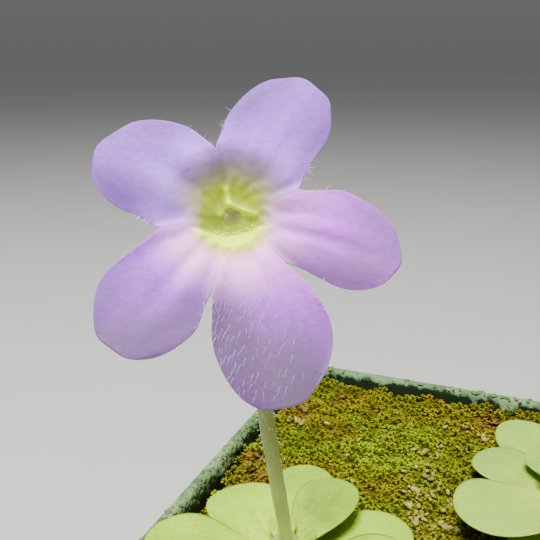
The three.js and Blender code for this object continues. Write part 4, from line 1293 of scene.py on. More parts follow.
# Each leaf has a reach, a width, and how far it strays from the golden angle.
ROSETTES = {
    "left": {
        "centre": -21.9 - 24.4j,
        "first": 46,
        # Painted shade on each leaf, from 0 for a lit one to 1 for one that faces away from the light.
        "painted_shades": (0.3, 0.45, 0.5, 0.55, 0.4, 0.5, 0.0, 0.4, 0.9, 0.2, 0.4, 0.3, 0.2, 0.2),
        "cool": 0.05,
        "leaves": [(22.5, 14, -1), (19, 12, 10), (22, 14, 0), (25, 12, 2), (21, 13.5, 4), (20.5, 13, -4),
                   (19, 14, -8), (20, 13, 5), (19.5, 10.5, 12), (22, 12.5, 6), (16, 11, 0), (6.5, 4.6, 0),
                   (6, 4.2, 0), (5.2, 3.4, 0)],
    },
    "right": {
        "centre": 18.6 + 11.5j,
        "first": 115,
        "painted_shades": (0.6, 0.4, 0.55, 1.0, 0.6, 0.8, 0.5, 0.6, 0.7, 0.5, 0.3, 0.2),
        "cool": 0.45,
        "leaves": [(26, 13.5, 0), (22, 14, 5), (22.5, 14, -4), (18, 13, -6), (21.5, 13, 2), (20, 13, -3),
                   (26.5, 16.5, 15), (18, 12, 4), (10, 7, 0), (12, 8, 0), (7.5, 5, 3), (6, 4, 0)],
    },
}


def midrib(length, age):
    """Distance out and height of the midrib, for a row of points from stem to tip."""
    steps = 60
    share = (np.arange(steps) + 0.5) / steps
    rise, fall = mix(15, 34, age**4), mix(2, 24, age**5)
    climb = mix(rise, fall, share**0.8) * DEGREE
    out = np.concatenate([[0], np.cumsum(np.cos(climb))]) * length / steps
    height = np.concatenate([[0], np.cumsum(np.sin(climb))]) * length / steps
    at = np.linspace(0, 1, steps + 1)
    return at * length, out, height, np.interp(at, share, climb)


def leaf_surface(reach, width, age, luck, u, v, side):
    """A point of a leaf's upper (side 1) or lower (side -1) face, along +X from the stem."""
    length = reach - LEAF_BASE_RADIUS
    shape = {"length": length, "width": width, "widest_at": length * 0.62, "swell": 1.6, "start": 1.35j}
    spot = blade_spot(shape, u, v)
    wobble = 1 + 0.018 * np.sin(5 * u * (1 + 0.3 * luck) + 7 * luck + 2 * v) * smooth(2 * u)
    x, y = spot.real, spot.imag * wobble
    at, out, height, climb = midrib(length, age)
    here = [np.interp(x, at, values) for values in (out, height, climb)]
    trough = mix(0.01, 0.12, age) * width * (np.abs(y) / (width / 2)) ** 2.4
    full = np.sqrt(np.clip(1 - np.abs(v) ** 3.2, 0, 1) * np.clip(1 - u**9, 0, 1))
    swell = (0.30 if side > 0 else -0.75) * full * mix(0.6, 1, smooth(width / 8))
    furrow = -0.16 * bump_at(y, 0, 0.9) * smooth((0.8 - u) / 0.6) * full
    hills = 0.10 * np.sin(0.9 * x + 9 * luck) * np.cos(0.8 * y + 5 * luck) * full
    lift = trough - 0.35 + swell + (furrow + hills if side > 0 else 0)
    return np.stack([here[0] - lift * np.sin(here[2]), y, here[1] + lift * np.cos(here[2])], axis=-1)


print("leaves:", {side_name: len(rosette["leaves"]) for side_name, rosette in ROSETTES.items()})

# %% [markdown]
# ## The finish of the leaves
# The leaves are pale yellow-green, waxy and translucent, so light glows a little inside them, most of all
# near the edge. Old leaves are yellower, and painted shade darkens each leaf by its own amount, most on those
# that face away from the light. Over the soft patches of colour lies the pebbled skin, and a thin coat makes
# them look wet.

# %% Leaf material
leaf_material, nodes = new_finish(
    "fleshy_leaf",
    {"Roughness": 0.48, "Specular IOR Level": 0.25, "Coat Weight": 0.05, "Coat Roughness": 0.3}
    | soft(0.4, 1.6, (0.8, 1.0, 0.35)),
)
along, across = nodes.mark("along"), nodes.mark("across")
from_rib = nodes.math("ABSOLUTE", across)
cloud = nodes.use(patches, {"Large": 7, "Small": 1.1})
green = nodes.blend(nodes.mark("age"), paint(162, 200, 14), paint(154, 196, 20))
# painted shade: each leaf is darkened as much as its rosette lists
green = nodes.blend(nodes.mark("shade"), green, paint(90, 120, 14))
green = nodes.over(green, paint(186, 224, 10), cloud["Broad"], 0.5)
green = nodes.over(green, paint(126, 166, 18), cloud["Fine"], 0.25)
margin = nodes.fade(nodes.math("MAXIMUM", from_rib, along), 0.35, 1, 0, 0.55)
green = nodes.blend(margin, green, paint(118, 158, 24))
green = nodes.blend(nodes.mark("cool"), green, paint(136, 164, 80))
green = nodes.over(green, paint(206, 234, 28), nodes.fade(along, 0.45, 0), 0.5)
rib = nodes.times(nodes.fade(from_rib, 0.16, 0), nodes.fade(along, 0.85, 0.3))
green = nodes.over(green, paint(122, 164, 30), rib, 0.35)
green = nodes.over(green, paint(122, 164, 34), vein_line(nodes, along, across, 4, 0.2, 0.1), 0.1)
nodes.finish("Base Color", green)
domes = nodes.use(skin, {"Cell Size": 0.35})["Domes"]
nodes.finish("Normal", nodes.relief(nodes.plus(nodes.times(domes, 0.6), cloud["Fine"]), 0.1, 0.7))

# %% Leaves
LEAF_ROWS, LEAF_COLUMNS = 40, 24


def place_leaf(points, centre, azimuth, level):
    """Turns a leaf from +X to its heading and sets it on its rosette."""
    root = centre + turned(LEAF_BASE_RADIUS - 0.5, azimuth)
    return raised(turned(1, azimuth) * flat_spot(points) + root, points[..., 2] + level)


def make_leaf(side_name, i):
    """Makes one leaf, and gives back its measures and its place."""
    rosette = ROSETTES[side_name]
    reach, width, stray = rosette["leaves"][i]
    age = i / (len(rosette["leaves"]) - 1)
    measures = (reach + 0.5, width, age, (i * 0.618 + 0.3) % 1)
    azimuth = rosette["first"] + GOLDEN_ANGLE * i + stray
    place = (rosette["centre"], azimuth, FIRST_LEAF_HEIGHT + LEAF_PITCH * i)
    u, v = sheet_grid(LEAF_ROWS, LEAF_COLUMNS)
    upper, lower = (place_leaf(leaf_surface(*measures, u, v, side), *place) for side in (1, -1))
    points, faces = together(two_faces(upper, lower))
    looks = {"age": age, "shade": rosette["painted_shades"][i], "cool": rosette["cool"]}
    marks = {mark: np.full(len(points), value) for mark, value in looks.items()}
    marks |= {"along": np.tile(u.ravel(), 2), "across": np.tile(v.ravel(), 2)}
    points, quads, marks = weld(points, faces[0], marks)
    name, solid = (f"{side_name}_{kind}_{i + 1:02d}" for kind in ("pad", "leaf"))
    make_piece(name, points, quads, leaf_material, [solid], marks)
    return measures, place


leaf_places = {}
for side_name, rosette in ROSETTES.items():
    leaf_places[side_name] = [make_leaf(side_name, i) for i in range(len(rosette["leaves"]))]

# %% [markdown]
# ## Sticky drops
# The upper face of a leaf is covered with stalked glands, each with a drop of clear glue that catches small
# flies. They are tiny balls on short stalks, strewn evenly over each leaf: a random spot is kept with a
# chance that follows the leaf's area there.

# %% Sticky drops
DROPS_PER_MM2, DROP_STEM = 2.3, 0.06
drop_material, nodes = new_finish(
    "sticky_drop",
    {"Roughness": 0.12, "IOR": 1.36, "Coat Weight": 0.35, "Coat Roughness": 0.05} | soft(0.5, 0.2),
)
nodes.finish("Base Color", nodes.blend(nodes.noise(0.6), paint(196, 210, 132), paint(212, 222, 160)))
drop_draw = np.random.default_rng(5)


def leaf_drops(measures, place):
    """Roots and normals of the drops on one leaf."""

    def surface(u, v):
        return place_leaf(leaf_surface(*measures, u, v, 1), *place)

    tries = int(measures[0] * measures[1] * DROPS_PER_MM2 * 1.4)
    u, v = drop_draw.uniform(0.08, 0.97, tries), drop_draw.uniform(-0.94, 0.94, tries)
    roots, normals = on_sheet(surface, u, v)
    corner = np.cross(surface(u + 0.01, v) - roots, surface(u, v + 0.01) - roots)
    room = np.linalg.norm(corner, axis=-1)
    kept = drop_draw.uniform(0, room.max(), tries) < room
    return roots[kept], normals[kept]


for side_name, leaves in leaf_places.items():
    sets = [leaf_drops(*leaf) for leaf in leaves]
    roots, normals = (np.concatenate([s[k] for s in sets]) for k in (0, 1))
    lengths = drop_draw.uniform(0.10, 0.22, len(roots))
    stems, stem_faces, tips = hairs(roots, normals, lengths, DROP_STEM, steps=1)
    sizes = drop_draw.uniform(0.05, 0.085, len(roots))
    drops, drop_faces = copies(*ball(4, 1), tips, axes_on(normals, lengths * 900), sizes)
    points, faces = together([(stems, stem_faces), (drops, drop_faces)])
    make_piece(f"{side_name}_drops", points, faces, drop_material)

# %% [markdown]
# ## Hearts of the rosettes
# The short stem of each rosette is almost hidden by its leaves. It is a lumpy green cone with the scars of
# old leaves, made as a lathed body whose radius swells at each scar.

# %% Rosette hearts
HEART_RADIUS, SCAR_DEPTH, HEART_RINGS, HEART_SIDES = 2, 0.1, 40, 24
heart_material, nodes = new_finish("rosette_stem", {"Roughness": 0.5} | soft(0.2, 0.8))
cloud = nodes.use(patches, {"Large": 2, "Small": 0.5})
stem_green = nodes.blend(cloud["Broad"], paint(166, 176, 104), paint(188, 194, 124))
nodes.finish("Base Color", nodes.over(stem_green, paint(126, 118, 70), cloud["Fine"], 0.4))
nodes.finish("Normal", nodes.relief(cloud["Fine"], 0.12))
for side_name, rosette in ROSETTES.items():
    low, high = (corner.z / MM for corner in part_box(f"{side_name}_crown"))
    levels = np.linspace(low, high - 0.3, HEART_RINGS)
    scars = SCAR_DEPTH * np.abs(np.sin((levels - low) * np.pi / LEAF_PITCH / 3))
    radii = (HEART_RADIUS + scars) * smooth((levels - low) / 6 + 0.02)
    profile = [(0.01, low), *zip(radii, levels), (1.2, high), (0.01, high + 0.1)]
    points, faces = lathe(profile, HEART_SIDES)
    points[:, :2] += [rosette["centre"].real, rosette["centre"].imag]
    make_piece(f"{side_name}_heart", points, faces, heart_material, [f"{side_name}_crown"])

# %% [markdown]
# ## Moss
# A carpet of moss fills the pot. From above it is thousands of little stars: upright shoots, each with
# whorls of pointed leaves. Underneath is a dark felt of old stems. So there are two pieces: a rolling felt
# that fills the pot from wall to wall, and the shoots that are planted on it. The colour goes in patches,
# from bright yellow-green to brown and rust where the moss is old.

# %% The lie of the moss
MOSS_LEVEL, MOSS_MOUND, MOSS_BANK, MOSS_FOOT, MOSS_CORNER = 76, 1.5, 1.7, 72.3, 5.4
moss_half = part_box("moss_carpet")[1].x / MM
centres = np.array([rosette["centre"] for rosette in ROSETTES.values()])


def from_rosettes(x, y):
    """Distance to the middle of the nearer rosette."""
    return np.abs((x + 1j * y)[..., None] - centres).min(axis=-1)


def moss_relief(x, y):
    """Height of the rolling mounds, calm under the rosettes and banked up by the walls."""
    warp_x, warp_y = 1.3 * np.sin(y * 0.17), 0.9 * np.sin(x * 0.21 + 2)
    broad = np.sin(x * 0.31 + warp_x) * np.cos(y * 0.27 + warp_y)
    small = np.sin(x * 0.83 + y * 0.4 + 0.5) * np.cos(y * 0.71 - x * 0.23)
    away = from_rosettes(x, y)
    climb = smooth((np.maximum(np.abs(x), np.abs(y)) - 35) / 6) * smooth((away - 25) / 4)
    return MOSS_MOUND * mix(-0.55, 0.62 * broad + 0.28 * small, smooth((away - 9) / 12)) + MOSS_BANK * climb


def tufts(x, y):
    """Height of the small tufts on the mounds."""
    return 0.22 * np.sin(2.1 * x + np.sin(1.7 * y)) * np.sin(1.9 * y + np.sin(2.3 * x))


def in_the_pot(a, b):
    """Takes a spot of the square from -1 to 1 to the room between the walls, with its rounded corners."""
    flat = moss_half - MOSS_CORNER
    x, y = a * moss_half, b * moss_half
    over_x, over_y = np.maximum(np.abs(x) - flat, 0), np.maximum(np.abs(y) - flat, 0)
    shrink = np.maximum(over_x, over_y) / np.maximum(np.hypot(over_x, over_y), 1e-6)
    in_corner = (over_x > 0) & (over_y > 0)
    new_x = np.where(in_corner, np.sign(x) * (flat + over_x * shrink), x)
    return new_x, np.where(in_corner, np.sign(y) * (flat + over_y * shrink), y)


print("the moss reaches", round(moss_half, 2), "mm to each side")

# %% [markdown]
# Brown, rusty and fresh places of the moss are masks, and so is painted shade in its hollows and a few dark
# spots. Each is cloudy noise, with some spots added where the plant has such a place. The masks are a group,
# because the felt and its shoots share them.

# %% Moss masks
BROWN_SPOTS = [(-37, 26), (-27, 36), (2, 33), (-6, 40), (-38, -2), (-38, -16), (10, -36), (4, 0)]
RUSTY_SPOTS = [(1, 36), (-36, -5), (-37, 25), (22, -30)]
FRESH_SPOTS = [(-13, 14), (-8, 24), (-20, 17), (-15, 26), (-16, 15)]
# Spots of painted shade in the moss.
SHADE_SPOTS = [(-1.2, 12), (-11.8, 1), (1, 9), (-20, 24), (-4, 24), (-16, 5), (30, -20)]


def near_spots(nodes, place, spots, reach, noise):
    """1 at any of some spots seen from above, fading out at a ragged reach from them."""
    nearest = reach
    for spot in spots:
        away = nodes.add("VectorMath", {0: place, 1: (*spot, 0)}, operation="DISTANCE").outputs["Value"]
        nearest = nodes.math("MINIMUM", nearest, away)
    ragged = nodes.plus(nearest, nodes.swing(noise, 1.6 * reach))
    return nodes.fade(ragged, reach, 0.4 * reach)


moss_zones, nodes, given = new_group("moss_zones", {})
place = nodes.stretched(1, 1, 0)
broad = nodes.add("TexNoise", {"Vector": place, "Scale": 0.075, "Detail": 3.0}).outputs["Fac"]
rust = {"Vector": place, "Scale": 0.11, "Detail": 4.0}
rust = nodes.add("TexNoise", rust | {"W": 3.7}, noise_dimensions="4D").outputs["Fac"]
cushion = nodes.add("TexNoise", {"Vector": place, "Scale": 0.24, "Detail": 2.0}).outputs["Fac"]
brown = near_spots(nodes, place, BROWN_SPOTS, 9, rust)
orange = near_spots(nodes, place, RUSTY_SPOTS, 5, cushion)
shade_spots = near_spots(nodes, place, SHADE_SPOTS, 3.5, cushion)
fresh = near_spots(nodes, place, FRESH_SPOTS, 7, cushion)
give(
    moss_zones,
    {
        "Dull": nodes.math("MAXIMUM", nodes.fade(broad, 0.46, 0.64), brown),
        "Rusty": nodes.math("MAXIMUM", nodes.fade(rust, 0.58, 0.68), orange),
        "Shade Between": nodes.math("MAXIMUM", nodes.fade(cushion, 0.50, 0.38), shade_spots),
        "Fresh": nodes.math("MAXIMUM", nodes.fade(cushion, 0.58, 0.75), fresh),
    },
)

# %% Moss felt
FELT_STEPS, FELT_SINK = 110, 0.5
felt_material, nodes = new_finish("moss_felt", {"Roughness": 0.95, "Specular IOR Level": 0.1})
zones = nodes.use(moss_zones, {})
soil = nodes.blend(zones["Dull"], paint(84, 92, 8), paint(84, 76, 12))
soil = nodes.blend(zones["Rusty"], soil, paint(98, 66, 30))
nodes.finish("Base Color", nodes.blend(nodes.noise(0.8, 4), soil, paint(54, 54, 8)))
nodes.finish("Normal", nodes.relief(nodes.noise(0.5, 5), 0.5))

a, b = np.meshgrid(*[np.linspace(-1, 1, FELT_STEPS + 1)] * 2, indexing="ij")
x, y = in_the_pot(a, b)
nearness = np.maximum(np.abs(a), np.abs(b))
z = MOSS_LEVEL - FELT_SINK + moss_relief(x, y) + tufts(x, y) - 1.1 * smooth((nearness - 0.965) / 0.035)
felt_points = np.stack([x, y, np.where(nearness > 0.999, MOSS_FOOT, z)], axis=-1).reshape(-1, 3)
felt_quads = grid_faces(FELT_STEPS, FELT_STEPS)
make_piece("moss_felt", felt_points, felt_quads, felt_material, ["moss_carpet"])

# %% [markdown]
# One shoot is a fan of pointed leaves, turned by the golden angle: the lowest lie out flat and the highest
# stand up. Each leaf is five triangles with a fold along the middle. Copies differ in turn, lean, height and
# tint.

# %% Moss shoots
SHOOT_LEAVES, SHOOT_SPACING, SHOOT_SINK, HEART_ROOM = 13, 1.2, 0.75, 6
SHOOT_LEAF = np.array([[0, -0.3], [0, 0.3], [0.45, 1], [0.45, 0], [0.45, -1], [1, 0]])  # along and across
SHOOT_FOLD = np.array([0, 0, 0.06, -0.03, 0.06, 0])
SHOOT_TRIANGLES = np.array([[0, 3, 2], [0, 4, 3], [3, 5, 2], [4, 5, 3], [0, 1, 3]])


def moss_shoot():
    """A shoot about one unit high, with the share from root to tip of each point."""
    parts = []
    for k in range(SHOOT_LEAVES):
        share = k / (SHOOT_LEAVES - 1)
        rise, length = mix(18, 72, share) * DEGREE, mix(1.0, 0.62, share)
        along, across = (SHOOT_LEAF * [length, mix(0.22, 0.16, share)]).T
        height = 0.12 + 0.55 * share + along * np.sin(rise) - 0.22 * along**2 / length + SHOOT_FOLD
        spot = (along * np.cos(rise) + 1j * across) * turned(1, k * GOLDEN_ANGLE)
        parts.append((raised(spot, height), SHOOT_TRIANGLES))
    points, faces = together(parts)
    return points, faces[0], np.tile(SHOOT_LEAF[:, 0], SHOOT_LEAVES)


moss_material, nodes = new_finish(
    "moss_leaf", {"Roughness": 0.6, "Specular IOR Level": 0.1} | soft(0.25, 0.5)
)
zones, tip = nodes.use(moss_zones, {}), nodes.mark("tip")
shoot_colour = nodes.blend(zones["Dull"], paint(122, 140, 2), paint(144, 130, 12))
shoot_colour = nodes.blend(zones["Rusty"], shoot_colour, paint(142, 100, 10))
shoot_colour = nodes.over(shoot_colour, paint(152, 176, 2), zones["Fresh"], 0.75)
# painted shade in the hollows of the moss and at its shaded spots
shoot_colour = nodes.over(shoot_colour, paint(85, 84, 4), zones["Shade Between"], 0.6)
shoot_colour = nodes.over(shoot_colour, paint(106, 113, 3), nodes.mark("tint"), 0.45)
shoot_colour = nodes.blend(nodes.fade(tip, 0.9, 0.1, 0, 0.4), shoot_colour, paint(89, 87, 9))
shoot_colour = nodes.blend(nodes.fade(tip, 0.7, 1, 0, 0.35), shoot_colour, paint(171, 180, 34))
nodes.finish("Base Color", shoot_colour)

moss_draw = np.random.default_rng(29)
per_side = int(2 * moss_half / SHOOT_SPACING)
a, b = np.meshgrid(*[np.linspace(-0.985, 0.985, per_side)] * 2, indexing="ij")
a, b = (np.clip(s + moss_draw.normal(0, 0.35 / per_side, s.shape), -0.985, 0.985) for s in (a, b))
x, y = in_the_pot(a.ravel(), b.ravel())
kept = from_rosettes(x, y) > HEART_ROOM
x, y = x[kept], y[kept]
tall = mix(0.55, 1.0, smooth((from_rosettes(x, y) - 7) / 8)) * moss_draw.uniform(0.8, 1.45, len(x))
places = np.stack([x, y, MOSS_LEVEL - SHOOT_SINK + moss_relief(x, y) + tufts(x, y)], axis=-1)
lean_x, lean_y = moss_draw.normal(0, 0.22, (2, len(x)))
axes = axes_on(unit(raised(lean_x + 1j * lean_y, 1)), moss_draw.uniform(0, 360, len(x)))
shoot, shoot_faces, shoot_tips = moss_shoot()
for letter, chosen in zip("ab", np.array_split(moss_draw.permutation(len(x)), 2)):
    points, faces = copies(shoot, shoot_faces, places[chosen], axes[chosen], tall[chosen])
    tints = np.repeat(moss_draw.uniform(0, 1, len(chosen)), len(shoot))
    marks = {"tip": np.tile(shoot_tips, len(chosen)), "tint": tints}
    make_piece(f"moss_shoots_{letter}", points, faces, moss_material, (), marks)
print(len(x), "shoots")

# %% [markdown]
# ## Grit and bits of bark
# Grains of pale grit and flakes of old bark lie in the moss, thickest along a trail between the rosettes.
# A grain is a small ball whose points are pushed in and out at random, which gives it the flats of broken
# stone, and a flake is the same thing pressed flat. Two dozen of each are made, and copied.

# %% Grit and bark
GRIT_TRAIL = [(-9, 19), (-7, 18.5), (-7, 11.5), (-4.5, 9.5), (-6.5, 5.5), (-8, 2), (-2, -2), (-6, -1), (0, 5),
              (-1, 32), (2, 30), (-5, 31), (-37, 20), (3, -10), (6, -16), (-1.5, -2.1), (-4, 1.6), (-7, 4.7),
              (-5.7, 13.1), (-0.2, -4.5)]
BARK_HEAPS = [(-36.7, -5.2), (1.5, 36), (-36, 24), (-30, 33), (-38, 2), (8, 38)]
TRAIL_GRAINS, STRAY_GRAINS, HEAP_FLAKES, STRAY_FLAKES = 120, 40, 40, 24
SHAPES = 24  # how many different grains are copied
grit_draw = np.random.default_rng(8)


def strewn(heaps, count, spread, strays, half):
    """Spots near given places, and some anywhere, but none under the heart of a rosette."""
    near = np.array(heaps)[grit_draw.integers(0, len(heaps), count)] + grit_draw.normal(0, spread, (count, 2))
    spots = np.concatenate([near, grit_draw.uniform(-half, half, (strays, 2))])
    return spots[from_rosettes(*spots.T) > 8]


def rough_grains(spots, sizes, flatness, lift, sides):
    """Broken grains at spots on the moss, with a tint for each."""
    plain, faces = ball(sides, 3)
    places = np.column_stack([spots, MOSS_LEVEL + lift + moss_relief(*spots.T)])
    parts, tints = [], []
    for batch in np.array_split(np.arange(len(spots)), SHAPES):
        knocked = plain * grit_draw.uniform(0.55, 1.2, (len(plain), 1))
        knocked[:sides], knocked[-sides:] = knocked[:sides].mean(axis=0), knocked[-sides:].mean(axis=0)
        up = unit(np.column_stack([grit_draw.normal(0, 0.5, (len(batch), 2)), np.ones(len(batch))]))
        axes = axes_on(up, grit_draw.uniform(0, 360, len(batch)))
        long, short = grit_draw.uniform(1.0, 1.7, len(batch)), grit_draw.uniform(0.6, 0.9, len(batch))
        stretch = sizes[batch, None] * np.column_stack([long, short, np.full(len(batch), flatness)])
        parts.append(copies(knocked, faces, places[batch], axes, stretch))
        tints.append(np.repeat(grit_draw.uniform(0, 1, len(batch)), len(plain)))
    points, faces = together(parts)
    return points, faces, {"tint": np.concatenate(tints)}


grit_material, nodes = new_finish("pale_grit", {"Roughness": 0.7} | soft(0.15, 0.4))
grit_colour = nodes.blend(nodes.mark("tint"), paint(158, 154, 78), paint(120, 114, 44))
nodes.finish("Base Color", nodes.over(grit_colour, paint(112, 102, 34), nodes.noise(0.3, 3), 0.6))
nodes.finish("Normal", nodes.relief(nodes.noise(0.15, 4), 0.08))
spots = strewn(GRIT_TRAIL, TRAIL_GRAINS, 1.3, STRAY_GRAINS, 39)
sizes = np.exp(grit_draw.normal(np.log(0.42), 0.35, len(spots))).clip(0.22, 0.9)
points, faces, marks = rough_grains(spots, sizes, 0.7, 0.25, 7)
make_piece("grit_grains", points, faces, grit_material, (), marks)

bark_material, nodes = new_finish("old_bark", {"Roughness": 0.85})
bark_colour = nodes.blend(nodes.mark("tint"), paint(84, 68, 8), paint(138, 98, 4))
nodes.finish("Base Color", nodes.blend(nodes.noise(0.5, 4), bark_colour, paint(78, 62, 8)))
nodes.finish("Normal", nodes.relief(nodes.noise(0.25, 4), 0.15))
spots = strewn(BARK_HEAPS, HEAP_FLAKES, 2, STRAY_FLAKES, 38).clip(-40, 40)
points, faces, marks = rough_grains(spots, grit_draw.uniform(0.4, 1, len(spots)), 0.3, 0.1, 5)
make_piece("bark_flakes", points, faces, bark_material, (), marks)

# %% [markdown]
# ## The pot
# The pot is a square nursery pot of thin dark green plastic: a tapered wall, a deep lip with soft edges, a
# flat floor with slots, and notches in its foot. It is lofted through rounded squares from the floor up the
# outside, over the lip and down the inside, with more points round each corner than the solid has. The
# slots and notches are cut with a Boolean modifier.

# %% Pot shell
POT_HALF, POT_CORNER, POT_HEIGHT, POT_WALL, POT_FLOOR = 45, 9, 80, 1.3, 1.8
LIP_FOOT, FOOT_WALL, TOP_WALL = 73, (33, 6), (43.2, 7.2)  # the wall's half-width and corner, low and high
LIP_PROFILE = [(1.6, 72.2), (0.8, 72.75), (0.2, 73.3), (0, 74), (0, 76.5), (0, 79), (0.07, 79.5),
               (0.3, 79.85), (0.65, 80), (1.5, 80)]  # how far in from the lip's edge, and height
CORNER_POINTS, SIDE_POINTS = 12, 14


def rounded_square(half, corner, z):
    """A ring of points round a square with rounded corners."""
    quarter = np.linspace(0, 90, CORNER_POINTS + 1)
    out = (half - corner) * np.sqrt(2)
    parts = []
    for k in range(4):
        arc = turned(out, 45 + 90 * k) + turned(corner, quarter + 90 * k)
        following = turned(out, 135 + 90 * k) + turned(corner, 90 * (k + 1))
        parts += [arc, mix(arc[-1], following, np.linspace(0, 1, SIDE_POINTS + 1)[1:-1])]
    return raised(np.concatenate(parts), z)


def wall_ring(z, inset=0.0):
    """Half-width, corner radius and height of the tapered wall, some way in from its outside."""
    half, corner = (mix(low, high, z / LIP_FOOT) - inset for low, high in zip(FOOT_WALL, TOP_WALL))
    return half, corner, z


def pot_rings():
    """Half-width, corner radius and height of each ring: up the outside to the lip, and down the inside."""
    outside = [(32.0, 5.0, 0.0), (32.7, 5.7, 0.15)]
    outside += [wall_ring(z) for z in (1, 6, 14, 24, 34, 44, 54, 62, 68, 71.6)]
    outside += [(POT_HALF - inset, POT_CORNER - inset, z) for inset, z in LIP_PROFILE]
    outside += [(*wall_ring(POT_HEIGHT, POT_WALL - 0.35)[:2], 79.85)]
    inside = [wall_ring(z, POT_WALL) for z in (79.4, 78.5, 76.5, 74, 68, 50, 30, 12, 2.8)]
    return outside, inside + [(31.0, 4.0, POT_FLOOR)]


def ring_stack(rings):
    """A closed shell through rings, capped with one point at each end."""
    stack = [rounded_square(*ring) for ring in rings]
    sides = len(stack[0])
    first, last = stack[0].mean(axis=0), stack[-1].mean(axis=0)
    points = np.concatenate(stack + [[first], [last]])
    quads = grid_faces(len(stack) - 1, sides, closed=True)[:, ::-1]
    around = np.arange(sides)
    after = (around + 1) % sides
    low = np.stack([np.full(sides, len(points) - 2), after, around], axis=-1)
    top = (len(stack) - 1) * sides
    high = np.stack([np.full(sides, len(points) - 1), top + around, top + after], axis=-1)
    return points, [np.concatenate([low, high]), quads]


outside, inside = pot_rings()
print("rings outside and inside:", len(outside), len(inside))

# %% [markdown]
# ## The finish of the pot
# New, the plastic was an even teal green. Years of hard water have left a pale crust of lime and algae on the
# lip, and a haze and drips below it. The crust is a mask by height, broken up by noise, so that it is thick
# on the rim and gone a few millimetres down. On the left side it reaches deeper, where the pot was watered,
# and it is caked in a few spots round the lip. Fine scratches and a grainy mould surface do the rest.

# %% Pot material
CAKED_SPOTS = [(-44, 0), (-43, -4), (-42, -17), (-42, -21), (-44, -38), (6, 44), (30, -44), (44, -20)]
lime, nodes, given = new_group("lime", {"Level": POT_HEIGHT, "Reach": 3, "Amount": 0.5})
height = nodes.add("SeparateXYZ", {0: nodes.millimetres()}).outputs["Z"]
below = nodes.math("DIVIDE", nodes.math("SUBTRACT", given["Level"], height), given["Reach"])
broken = nodes.plus(nodes.noise(2.2, 5, 0.65), nodes.times(given["Amount"], 0.6))
broken = nodes.plus(broken, nodes.swing(nodes.noise(8, 1), 0.7))
crusted = nodes.math("SUBTRACT", broken, nodes.times(below, 0.35))
give(lime, {"Mask": nodes.fade(crusted, 0.55, 0.72), "Haze": nodes.fade(crusted, 0.2, 0.9)})

pot_material, nodes = new_finish("teal_plastic", {"Specular IOR Level": 0.45})
cloud = nodes.use(patches, {"Large": 18, "Small": 2.2})
scratches = nodes.add("TexNoise", {"Vector": nodes.stretched(2.2, 2.2, 0.12), "Scale": 1.0, "Detail": 4.0})
sideways = nodes.add("SeparateXYZ", {0: nodes.millimetres()}).outputs["X"]
caked = near_spots(nodes, nodes.stretched(1, 1, 0), CAKED_SPOTS, 4.5, nodes.noise(3, 3))
amount = nodes.plus(nodes.fade(sideways, -30, -42, 0.62, 0.72), nodes.times(caked, 0.35))
crust = nodes.use(lime, {"Level": POT_HEIGHT, "Reach": 1.8, "Amount": amount})

plastic = nodes.over(paint(24, 70, 60), paint(38, 86, 74), cloud["Broad"], 0.6)
plastic = nodes.over(plastic, paint(124, 152, 138), nodes.fade(scratches.outputs["Fac"], 0.5, 0.75), 0.2)
plastic = nodes.over(plastic, paint(76, 102, 76), crust["Haze"], 0.4)
# The inside of the wall is painted dark: partly real algae, partly painted shade where the wall lies in
# shadow.
algae_and_shade = nodes.times(nodes.mark("inside"), nodes.fade(nodes.noise(3.5, 4), 0.1, 0.36))
plastic = nodes.blend(algae_and_shade, plastic, paint(13, 28, 9))
lime_colour = nodes.blend(cloud["Fine"], paint(58, 84, 48), paint(96, 126, 82))
lime_colour = nodes.over(lime_colour, paint(124, 146, 92), caked, 0.6)
nodes.finish("Base Color", nodes.blend(crust["Mask"], plastic, lime_colour))
rough = nodes.plus(nodes.fade(crust["Mask"], 0, 1, 0.36, 0.85), nodes.times(cloud["Fine"], 0.1))
nodes.finish("Roughness", rough)
height = nodes.plus(nodes.times(nodes.noise(0.35, 3), 0.25), nodes.times(crust["Mask"], nodes.noise(0.5, 4)))
nodes.finish("Normal", nodes.relief(height, 0.25, 0.8))

# %% Pot
pot_points, pot_faces = ring_stack(outside + inside)
inner_start = len(outside) * len(rounded_square(*outside[0]))
pot_marks = {"inside": np.arange(len(pot_points)) >= inner_start}
pot = make_piece("square_pot", pot_points, pot_faces, pot_material, ["pot"], pot_marks)

# %% [markdown]
# The slots and notches are cut now, once and for all, and the mesh is kept without the modifier. Then its
# faces are shaded smooth again, except over sharp edges.

# %% Drain holes
DRAIN_LENGTH, DRAIN_WIDTH, DRAIN_OFFSET, NOTCH_HEIGHT = 13, 5, 24, 3.2
SLOT_FROM, SLOT_TO, NOTCH_FROM, NOTCH_TO = -1.0, 4.0, 30.0, 36.0  # how far the cutters reach
CREASE = 50  # degrees


def prism(low, high):
    """A closed body between two rings of the same number of points."""
    count = len(low)
    points = np.concatenate([low, high, [low.mean(axis=0)], [high.mean(axis=0)]])
    around = np.arange(count)
    after = (around + 1) % count
    walls = np.stack([around, after, after + count, around + count], axis=-1)
    walls = np.concatenate([walls[:, [0, 1, 2]], walls[:, [0, 2, 3]]])
    caps = [np.stack([np.full(count, 2 * count), after, around], -1)]
    caps.append(np.stack([np.full(count, 2 * count + 1), around + count, after + count], -1))
    return points, np.concatenate([walls, *caps])


